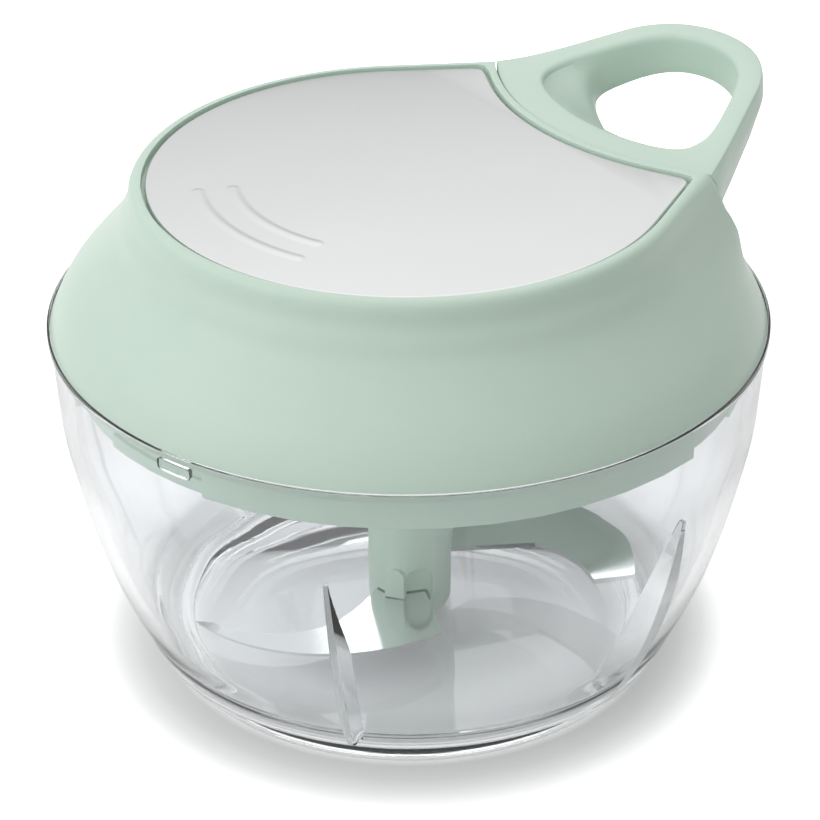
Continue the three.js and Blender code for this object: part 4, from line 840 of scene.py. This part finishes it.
# %% [markdown]
# ## The knot's bay
#
# The cord enters the docked end of the handle through a narrow hole and is knotted in a
# small bay that is open below. Both are cut from the finished skin, as a drill would.

# %% Handle cuts
KNOT_PLACE = 38.2
CORD_HOLE_RADIUS = 1.1
bay_near, bay_far, bay_half = 35, 41.4, 3.2
bay_outline = [
    (bay_near, -bay_half), (bay_far, -bay_half), (bay_far, bay_half), (bay_near, bay_half)
]
bay = plate_from(bay_outline, 80, 88.5)
cord_hole = lying_rod(CORD_HOLE_RADIUS, 30, KNOT_PLACE, 32)
handle_shape = combined(handle_shape, "DIFFERENCE", [bay, cord_hole])
make_piece("pull_handle", handle_shape, "handle", "mint_plastic", ("handle_grip",), crease=42)

# %% [markdown]
# ## The two blades
#
# Each blade is a thin steel crescent between two arcs. The outer arc leads and is ground
# from below, the inner arc is its plain back. The blade is pitched a few degrees, so that
# it lifts the food. Its section of four corners therefore changes from tip to root, and is
# extruded step by step along the crescent, where a flat plate would show no such twist.

# %% Blades
BLADE_THICKNESS = 1
BLADE_BEVEL = 0.6
BLADE_ROOT = 5.6
LOWER_BLADE = {
    "base": 8, "turn": 168.5, "pitch": 0.8,
    "edge": (10.5, -14, 34.2, 21, 104.5), "back": (21.5, -14, 21, 34, 130),
}
UPPER_BLADE = {
    "base": 14.5, "turn": -45, "pitch": 1.3,
    "edge": (19.3, -2.9, 23.3, -3, 118), "back": (8.1, -20.1, 31.9, 32, 63),
}


def blade_sides(blade, slope):
    """The leading arc and the back, both from the tip to the root inside the column."""
    edge_x, edge_y, edge_radius, tip, heel = blade["edge"]
    back_x, back_y, back_radius, back_tip, back_heel = blade["back"]
    edge = arc((edge_x, edge_y), edge_radius - slope, tip, heel, 48)
    back = arc((back_x, back_y), back_radius, back_heel, back_tip, 48)[::-1]
    edge += arc((0, 0), BLADE_ROOT, 94, 94, 1)
    back += arc((0, 0), BLADE_ROOT, 17, 17, 1)
    return list(zip(edge, back))


def pitch_at(blade, place):
    """How far the pitch lifts or sinks the blade. Its root stays level."""
    return blade["pitch"] * ease(hypot(*place), 12, 22)


def blade_shape(blade):
    """A crescent with its grind, skinned from the tip to the root."""
    base = blade["base"]
    top = base + BLADE_THICKNESS
    rings = []
    for (edge, back), (ground, _) in zip(blade_sides(blade, 0), blade_sides(blade, BLADE_BEVEL)):
        raised, sunk = pitch_at(blade, edge), -pitch_at(blade, back)
        rings.append([
            Vector((*edge, top + raised)), Vector((*back, top + sunk)),
            Vector((*back, base + sunk)), Vector((*ground, base + raised)),
        ])
    return rotated(skinned(rings, capped=True), blade["turn"])


for name, blade in (("lower", LOWER_BLADE), ("upper", UPPER_BLADE)):
    make_piece(f"{name}_crescent", blade_shape(blade), "blade", "blade_steel", (f"{name}_blade",))

# %% [markdown]
# ## Moulded pieces that keep their engineering shape
#
# The column, the lid's base and the drive socket have their whole form already, and so do
# the seal, the plug under the knot and the bowl's pin. A merged copy gets its flat faces
# back, then narrow soft edges, which catch the light as moulded edges do. A sharp edge
# never catches it and looks drawn.

# %% Refined copies
refined_copy("blade_stem", "blade_column", "blade", "mint_plastic", 0.25)
refined_copy("lid_underside", "lid_base", "lid", "mint_plastic", 0.15)
refined_copy("socket_bell", "drive_socket", "driver", "mint_plastic", 0.2)
refined_copy("seal_ring", "lid_seal", "seal", "seal_rubber", 0.2)
refined_copy("plug_plate", "knot_plug", "handle", "mint_plastic", 0.1)
refined_copy("pivot_post", "bowl_pivot_pin", "bowl", "fastener_steel", 0.2)

# %% [markdown]
# ## The cord
#
# The cord is held inside at all times: wound on the reel, then a straight lead to the
# eyelet, then a short tail to the knot in the handle. The straight lead and the tail are
# one tube.

# %% Wound cord
CORD_RADIUS = 0.8
WINDING_INNER = 17.4
CORD_PITCH = 1.7
CORD_TURNS = 2.5
STEPS_PER_TURN = 60


def tube_along(places, radius, sides=12):
    """A closed tube: rings set square to the path, skinned, and closed at both ends."""
    circle = [Vector((x * radius, y * radius, 0)) for x, y in arc((0, 0), 1, 0, 360, sides)[:-1]]
    rings = []
    for before, place, after in zip(places[:1] + places, places, places[1:] + places[-1:]):
        square = (after - before).to_track_quat("Z", "Y").to_matrix()
        rings.append([square @ corner + place for corner in circle])
    return skinned(rings, capped=True)


winding_path = [Vector((15.1, 0, CORD_HEIGHT)), Vector((16.3, 0.4, CORD_HEIGHT))]
for step in range(4, int(CORD_TURNS * STEPS_PER_TURN) + 1):
    turns = step / STEPS_PER_TURN
    radius = WINDING_INNER + turns * CORD_PITCH
    winding_path.append(
        Vector((radius * cos(turns * 2 * pi), radius * sin(turns * 2 * pi), CORD_HEIGHT))
    )
make_piece("wound_cord", tube_along(winding_path, CORD_RADIUS), "reel", "cord", ("cord_winding",))

# %% [markdown]
# The lead starts where the outermost turn lets go of the reel. Its stretch between the
# eyelet and the knot has many short rings, where the real cord pays out when the handle is
# pulled. The knot follows a trefoil, the simplest path that is knotted in itself.

# %% Straight cord and knot
LEAD_END = 27.2
TAIL_END = 36.4
lead_radius = WINDING_INNER + CORD_TURNS * CORD_PITCH + 0.3 + 2 * CORD_RADIUS
touch = -acos(lead_radius / LEAD_END)
lead_start = Vector((lead_radius * cos(touch), lead_radius * sin(touch), CORD_HEIGHT))
straight_path = [lead_start, lead_start.lerp(Vector((LEAD_END, 0, CORD_HEIGHT)), 0.9)]
for step in range(121):
    straight_path.append(Vector((mix(LEAD_END, TAIL_END, step / 120), 0, CORD_HEIGHT)))
pull_cord = make_piece(
    "pull_cord", tube_along(straight_path, CORD_RADIUS), None, "cord", ("cord_lead", "cord_tail")
)
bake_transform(pull_cord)
knot_path = []
for step in range(97):
    turn = 2 * pi * step / 96
    wide = 1.35 + 0.45 * cos(3 * turn)
    x = KNOT_PLACE + 0.7 * sin(3 * turn)
    knot_path.append(Vector((x, wide * cos(2 * turn), CORD_HEIGHT + wide * sin(2 * turn))))
make_piece("stopper_knot", tube_along(knot_path, 0.72, 10), "handle", "cord", ("cord_knot",))

# %% [markdown]
# ## Shader expressions
#
# A finish is easier to read as arithmetic than as a web of nodes. The small class below
# wraps one socket. Sums, differences and products of such sockets add the Math nodes, and
# one method adds any other node from its type, its settings and its inputs.

# %% Sockets that can be added and multiplied


class Wire:
    """An output socket in a node tree."""

    def __init__(self, tree, socket=None):
        self.tree = tree
        self.socket = socket

    def add(self, kind, settings=None, values=None, output=0):
        """A new node of a kind, with its settings, and with its sockets set or linked."""
        node = self.tree.nodes.new(kind)
        for name, value in (settings or {}).items():
            if name == "stops":
                stops = node.color_ramp.elements
                stops.remove(stops[1])
                for place, gray in value:
                    stops.new(place).color = (gray, gray, gray, 1)
            else:
                setattr(node, name, value)
        for name, value in (values or {}).items():
            if isinstance(value, Wire):
                self.tree.links.new(value.socket, node.inputs[name])
            else:
                node.inputs[name].default_value = value
        return Wire(self.tree, node.outputs[output])

    def math(self, operation, first, second):
        return self.add("ShaderNodeMath", {"operation": operation}, {0: first, 1: second})

    def __add__(self, other):
        return self.math("ADD", self, other)

    def __sub__(self, other):
        return self.math("SUBTRACT", self, other)

    def __rsub__(self, other):
        return self.math("SUBTRACT", other, self)

    def __mul__(self, other):
        return self.math("MULTIPLY", self, other)

    __radd__ = __add__
    __rmul__ = __mul__


def new_finish(name):
    """An empty material, and a wire to start its nodes from."""
    material = bpy.data.materials.new(name)
    material.use_nodes = True
    material.node_tree.nodes.clear()
    return material, Wire(material.node_tree)


def show(shader, kind="ShaderNodeOutputMaterial"):
    """Links a shader to the output of its tree."""
    output = shader.tree.nodes.new(kind)
    shader.tree.links.new(shader.socket, output.inputs["Surface"])


def surface(start, values):
    """A Principled shader as the material's surface."""
    show(start.add("ShaderNodeBsdfPrincipled", {}, values))


def object_place(start, stretch=(1, 1, 1)):
    """Object coordinates in metres, stretched to draw a grain out."""
    place = start.add("ShaderNodeTexCoord", {}, {}, "Object")
    return start.add("ShaderNodeMapping", {}, {"Vector": place, "Scale": stretch})


def noise(start, place, scale, detail):
    """Soft random shades from 0 to 1. A larger scale makes them finer."""
    return start.add("ShaderNodeTexNoise", {}, {"Vector": place, "Scale": scale, "Detail": detail})


def between(start, mask, first, second):
    """A colour between two colours, as the mask goes from 0 to 1."""
    return start.add(
        "ShaderNodeMix", {"data_type": "RGBA"},
        {"Factor": mask, 6: (*first, 1), 7: (*second, 1)}, 2,
    )


def bumped(start, height, distance, strength):
    """A normal that a height pattern tilts, with the bumps' depth in metres."""
    return start.add(
        "ShaderNodeBump", {}, {"Height": height, "Distance": distance, "Strength": strength}
    )


def seen_ray(start, mirrored, through):
    """1 for what the camera sees, a share in a mirror or through the bowl, 0 for stray light."""
    kinds = ("Is Camera Ray", "Is Glossy Ray", "Is Transmission Ray")
    direct, glossy, passed = [start.add("ShaderNodeLightPath", {}, {}, kind) for kind in kinds]
    return start.math(
        "MAXIMUM", direct, start.math("MAXIMUM", glossy * mirrored, passed * through)
    )


def linear(red, green, blue):
    """A colour given in 0 to 255 steps, as the linear light that shaders expect."""
    return tuple((value / 255) ** 2.2 for value in (red, green, blue))


print("mint in linear light:", [round(value, 3) for value in linear(186, 212, 199)])

# %% [markdown]
# ## Mint plastic
#
# The lid is a soft, slightly cloudy plastic with a fine moulded grain. Its colour drifts by
# a hair from place to place, its grain scatters highlights, and light runs a little way in.

# %% Mint plastic


def mint_plastic(name, light, deep, gloss):
    material, start = new_finish(name)
    place = object_place(start)
    drift = noise(start, place, 45, 4)
    grain = noise(start, place, 2600, 2)
    flow = noise(start, object_place(start, (1, 1, 6)), 60, 2)
    surface(start, {
        "Base Color": between(start, drift * 0.7 + flow * 0.3, deep, light),
        "Roughness": grain * 0.10 + (gloss - 0.05),
        "Normal": bumped(start, grain, 0.00002, 0.5),
        "IOR": 1.49,
        "Subsurface Weight": 0.12,
        "Subsurface Radius": (0.6, 1.0, 0.75),
        "Subsurface Scale": 0.003,
    })
    return material


mint = mint_plastic("mint_plastic", linear(198, 217, 204), linear(189, 210, 195), 0.38)
print("nodes in the mint plastic:", len(mint.node_tree.nodes))

# %% [markdown]
# ## Clear bowl plastic
#
# The bowl is clear styrene. It refracts like glass, with a cool tint that deepens each time
# light enters or leaves it, so it shows most at the foot and in the corner. Shadow rays
# would stop at a refracting wall, so they pass almost freely, as real light does.

# %% Clear plastic
clear_material, start = new_finish("bowl_clear")
haze = noise(start, object_place(start), 180, 3)
clear = start.add("ShaderNodeBsdfPrincipled", {}, {
    "Base Color": between(start, haze, (0.91, 0.922, 0.935), (0.92, 0.932, 0.942)),
    "Roughness": haze * 0.03 + 0.005,
    "IOR": 1.5,
    "Transmission Weight": 1.0,
})
passing = start.add("ShaderNodeBsdfTransparent", {}, {"Color": (0.985, 0.99, 0.992, 1)})
shadow_ray = start.add("ShaderNodeLightPath", {}, {}, "Is Shadow Ray")
show(start.add("ShaderNodeMixShader", {}, {0: shadow_ray, 1: clear, 2: passing}))
print("nodes in the clear plastic:", len(clear_material.node_tree.nodes))

# %% [markdown]
# ## Metals, resin, rubber and cord
#
# Metals share one recipe: a colour, a roughness that a drawn-out grain varies, and a faint
# bump along the grain. The white resin, the seal and the cord are dull and only need a
# little unevenness of their own.

# %% Other finishes


def metal(name, color, roughness, stretch, spread=0.08):
    """A metal whose grain is drawn out across the stretched axis."""
    material, start = new_finish(name)
    grain = noise(start, object_place(start, stretch), 900, 3)
    cloud = noise(start, object_place(start), 30, 2)
    darker = tuple(channel * 0.94 for channel in color)
    surface(start, {
        "Base Color": between(start, cloud, darker, color),
        "Metallic": 1.0,
        "Roughness": grain * spread + (roughness - spread / 2),
        "Normal": bumped(start, grain, 0.00001, 0.35),
    })
    return material


def dull(name, light, deep, roughness, scale, depth):
    """A dull finish between two shades, with bumps of a given depth in metres."""
    material, start = new_finish(name)
    grain = noise(start, object_place(start), scale, 3)
    surface(start, {
        "Base Color": between(start, grain, deep, light),
        "Roughness": grain * 0.1 + (roughness - 0.05),
        "Normal": bumped(start, grain, depth, 0.6),
    })
    return material


plate_steel = metal("plate_steel", (0.91, 0.915, 0.92), 0.26, (1, 1, 1), 0.06)
blade_steel = metal("blade_steel", (0.82, 0.84, 0.84), 0.1, (1, 12, 1), 0.05)
spring_steel = metal("spring_steel", (0.45, 0.46, 0.48), 0.35, (1, 1, 10))
fastener_steel = metal("fastener_steel", (0.60, 0.61, 0.63), 0.3, (1, 1, 8))
bush_brass = metal("bush_brass", (0.72, 0.52, 0.24), 0.3, (1, 1, 8))
white_resin = dull("white_resin", linear(236, 234, 226), linear(226, 224, 216), 0.45, 700, 0.00002)
seal_rubber = dull("seal_rubber", linear(226, 229, 226), linear(214, 219, 216), 0.7, 900, 0.00003)
cord_fibre = dull("cord", linear(230, 230, 224), linear(200, 200, 194), 0.85, 3000, 0.00012)

# %% [markdown]
# Each dressed piece names its slot, and the engineering solids that stay as they are get
# theirs from the second table. One loop hands out the finishes.

# %% Hand out the finishes
FINISHES = {
    "mint_plastic": mint, "bowl_clear": clear_material, "plate_steel": plate_steel,
    "blade_steel": blade_steel, "spring_steel": spring_steel, "fastener_steel": fastener_steel,
    "bush_brass": bush_brass, "white_resin": white_resin, "seal_rubber": seal_rubber,
    "cord": cord_fibre,
}
HIDDEN_FINISHES = {
    "pivot_bush": "bush_brass", "reel_bush": "bush_brass", "drive_bearing": "bush_brass",
    "cord_eyelet": "bush_brass", "cord_reel": "white_resin", "drive_shaft": "white_resin",
    "drive_pawl_1": "white_resin", "drive_pawl_2": "white_resin",
    "recoil_spring": "spring_steel", "axle_pin": "fastener_steel",
    "base_screw_1": "fastener_steel", "base_screw_2": "fastener_steel",
    "base_screw_3": "fastener_steel", "socket_screw": "fastener_steel",
}
for piece in list(scene.objects):
    slot = piece.get("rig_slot") or HIDDEN_FINISHES.get(piece.name)
    if piece.type == "MESH" and slot:
        piece.data.materials.clear()
        piece.data.materials.append(FINISHES[slot])
print("finishes:", ", ".join(sorted(FINISHES)))

# %% [markdown]
# ## Floor and light
#
# The chopper stands on a white table in a bright room. The floor is matt and takes the
# soft shadow. What the camera, a reflection or a refraction sees of it is lifted to white,
# which leaves the light on the chopper itself at a plain level. Each stop of the floor's
# painted light is a distance from the middle in metres and a level: painted light stands in
# for light through the bowl and brightens the table under it, a painted dark ring of shade
# lies round the foot, and a painted darker band lies further out. Behind the bowl that
# painted ring would only darken the wall, so it is lifted there.

# %% Floor
# Levels of painted light and painted shade on the floor, by distance from the axis.
FLOOR_PAINTED_LIGHT = (
    (0.002, 0.3), (0.025, 0.3), (0.033, 0.5), (0.037, 0.35), (0.041, 0.35), (0.043, 0.6),
    (0.0452, 0.6), (0.0465, 0.1), (0.053, 0.2), (0.062, 0.78), (0.07, 1.0), (0.085, 0.9),
    (0.1, 0.45), (0.14, 0.45), (0.25, 1.0),
)
BACKWARDS = (0.58, 0.81, 0)
floor_shape = bmesh.new()
bmesh.ops.create_grid(floor_shape, x_segments=1, y_segments=1, size=4)
floor_mesh = bpy.data.meshes.new("table_top")
floor_shape.to_mesh(floor_mesh)
floor_shape.free()
floor = bpy.data.objects.new("table_top", floor_mesh)
scene.collection.objects.link(floor)
floor_material, start = new_finish("table_top")
from_foot = start.add(
    "ShaderNodeVectorMath", {"operation": "DISTANCE"},
    {0: object_place(start), 1: (AXIS_X * MM, 0, 0)}, "Value",
)
# The floor's painted light and shade, read from the stops by its distance from the axis.
painted_light = start.add("ShaderNodeValToRGB", {"stops": FLOOR_PAINTED_LIGHT}, {"Fac": from_foot})
behind = start.add(
    "ShaderNodeVectorMath", {"operation": "DOT_PRODUCT"},
    {0: object_place(start), 1: BACKWARDS}, "Value",
)
# Painted light behind the bowl, which lifts the painted dark ring of shade on the far side.
lift = start.add(
    "ShaderNodeMapRange", {"interpolation_type": "SMOOTHSTEP"},
    {"Value": behind, "From Min": 0.015, "From Max": 0.045, "To Max": 0.5},
)
surface(start, {
    "Base Color": (0.7, 0.7, 0.7, 1),
    "Roughness": 1.0,
    "Specular IOR Level": 0.0,
    "Emission Color": start.math("MAXIMUM", painted_light, lift),
    "Emission Strength": seen_ray(start, 0.48, 0.48),
})
floor_mesh.materials.append(floor_material)
print("stops of the floor's glow:", len(FLOOR_PAINTED_LIGHT))

# %% [markdown]
# ## World and lamps
#
# Four large soft lamps stand round the part. They are hidden from mirrored rays, so none of
# them burns a spot into the steel. Instead the room that a mirrored ray sees is darker at
# the horizon than overhead, which is what draws the two pressed arcs on the plate. The
# camera sees it white, and so does a ray that has passed the bowl.

# %% World and lamps


def softbox(name, place, aim, size, power):
    """A rectangular lamp in metres and watts, turned towards its aim."""
    lamp = bpy.data.lights.new(name, "AREA")
    lamp.shape = "RECTANGLE"
    lamp.size, lamp.size_y = size
    lamp.energy = power
    holder = bpy.data.objects.new(name, lamp)
    turned_to_aim = (Vector(aim) - Vector(place)).to_track_quat("-Z", "Y").to_matrix().to_4x4()
    holder.matrix_world = Matrix.Translation(place) @ turned_to_aim
    holder.visible_glossy = False
    scene.collection.objects.link(holder)


ROOM_LEVEL = 0.465
world = bpy.data.worlds.new("white_room")
world.use_nodes = True
scene.world = world
world.node_tree.nodes.clear()
start = Wire(world.node_tree)
direction = start.add("ShaderNodeTexCoord", {}, {}, "Generated")
height = start.add("ShaderNodeSeparateXYZ", {}, {"Vector": direction}, "Z")
mirrored = height * (1.35 - height * 0.4) + 0.15
strength = seen_ray(start, mirrored, 1.0) * (1 - ROOM_LEVEL) + ROOM_LEVEL
room_light = start.add(
    "ShaderNodeBackground", {}, {"Color": (1, 1, 1, 1), "Strength": strength}
)
show(room_light, "ShaderNodeOutputWorld")
softbox("left_softbox", (-0.71, 0.19, 0.52), (0, 0, 0.05), (0.7, 0.7), 3.3)
softbox("low_softbox", (-0.62, -0.62, 0.16), (0, 0, 0.04), (0.5, 0.3), 0.5)
softbox("top_softbox", (0, 0, 1.0), (0, 0, 0.05), (0.7, 0.7), 2.0)
softbox("back_softbox", (0.4, 0.56, 0.6), (0, 0, 0.05), (0.7, 0.7), 2.3)
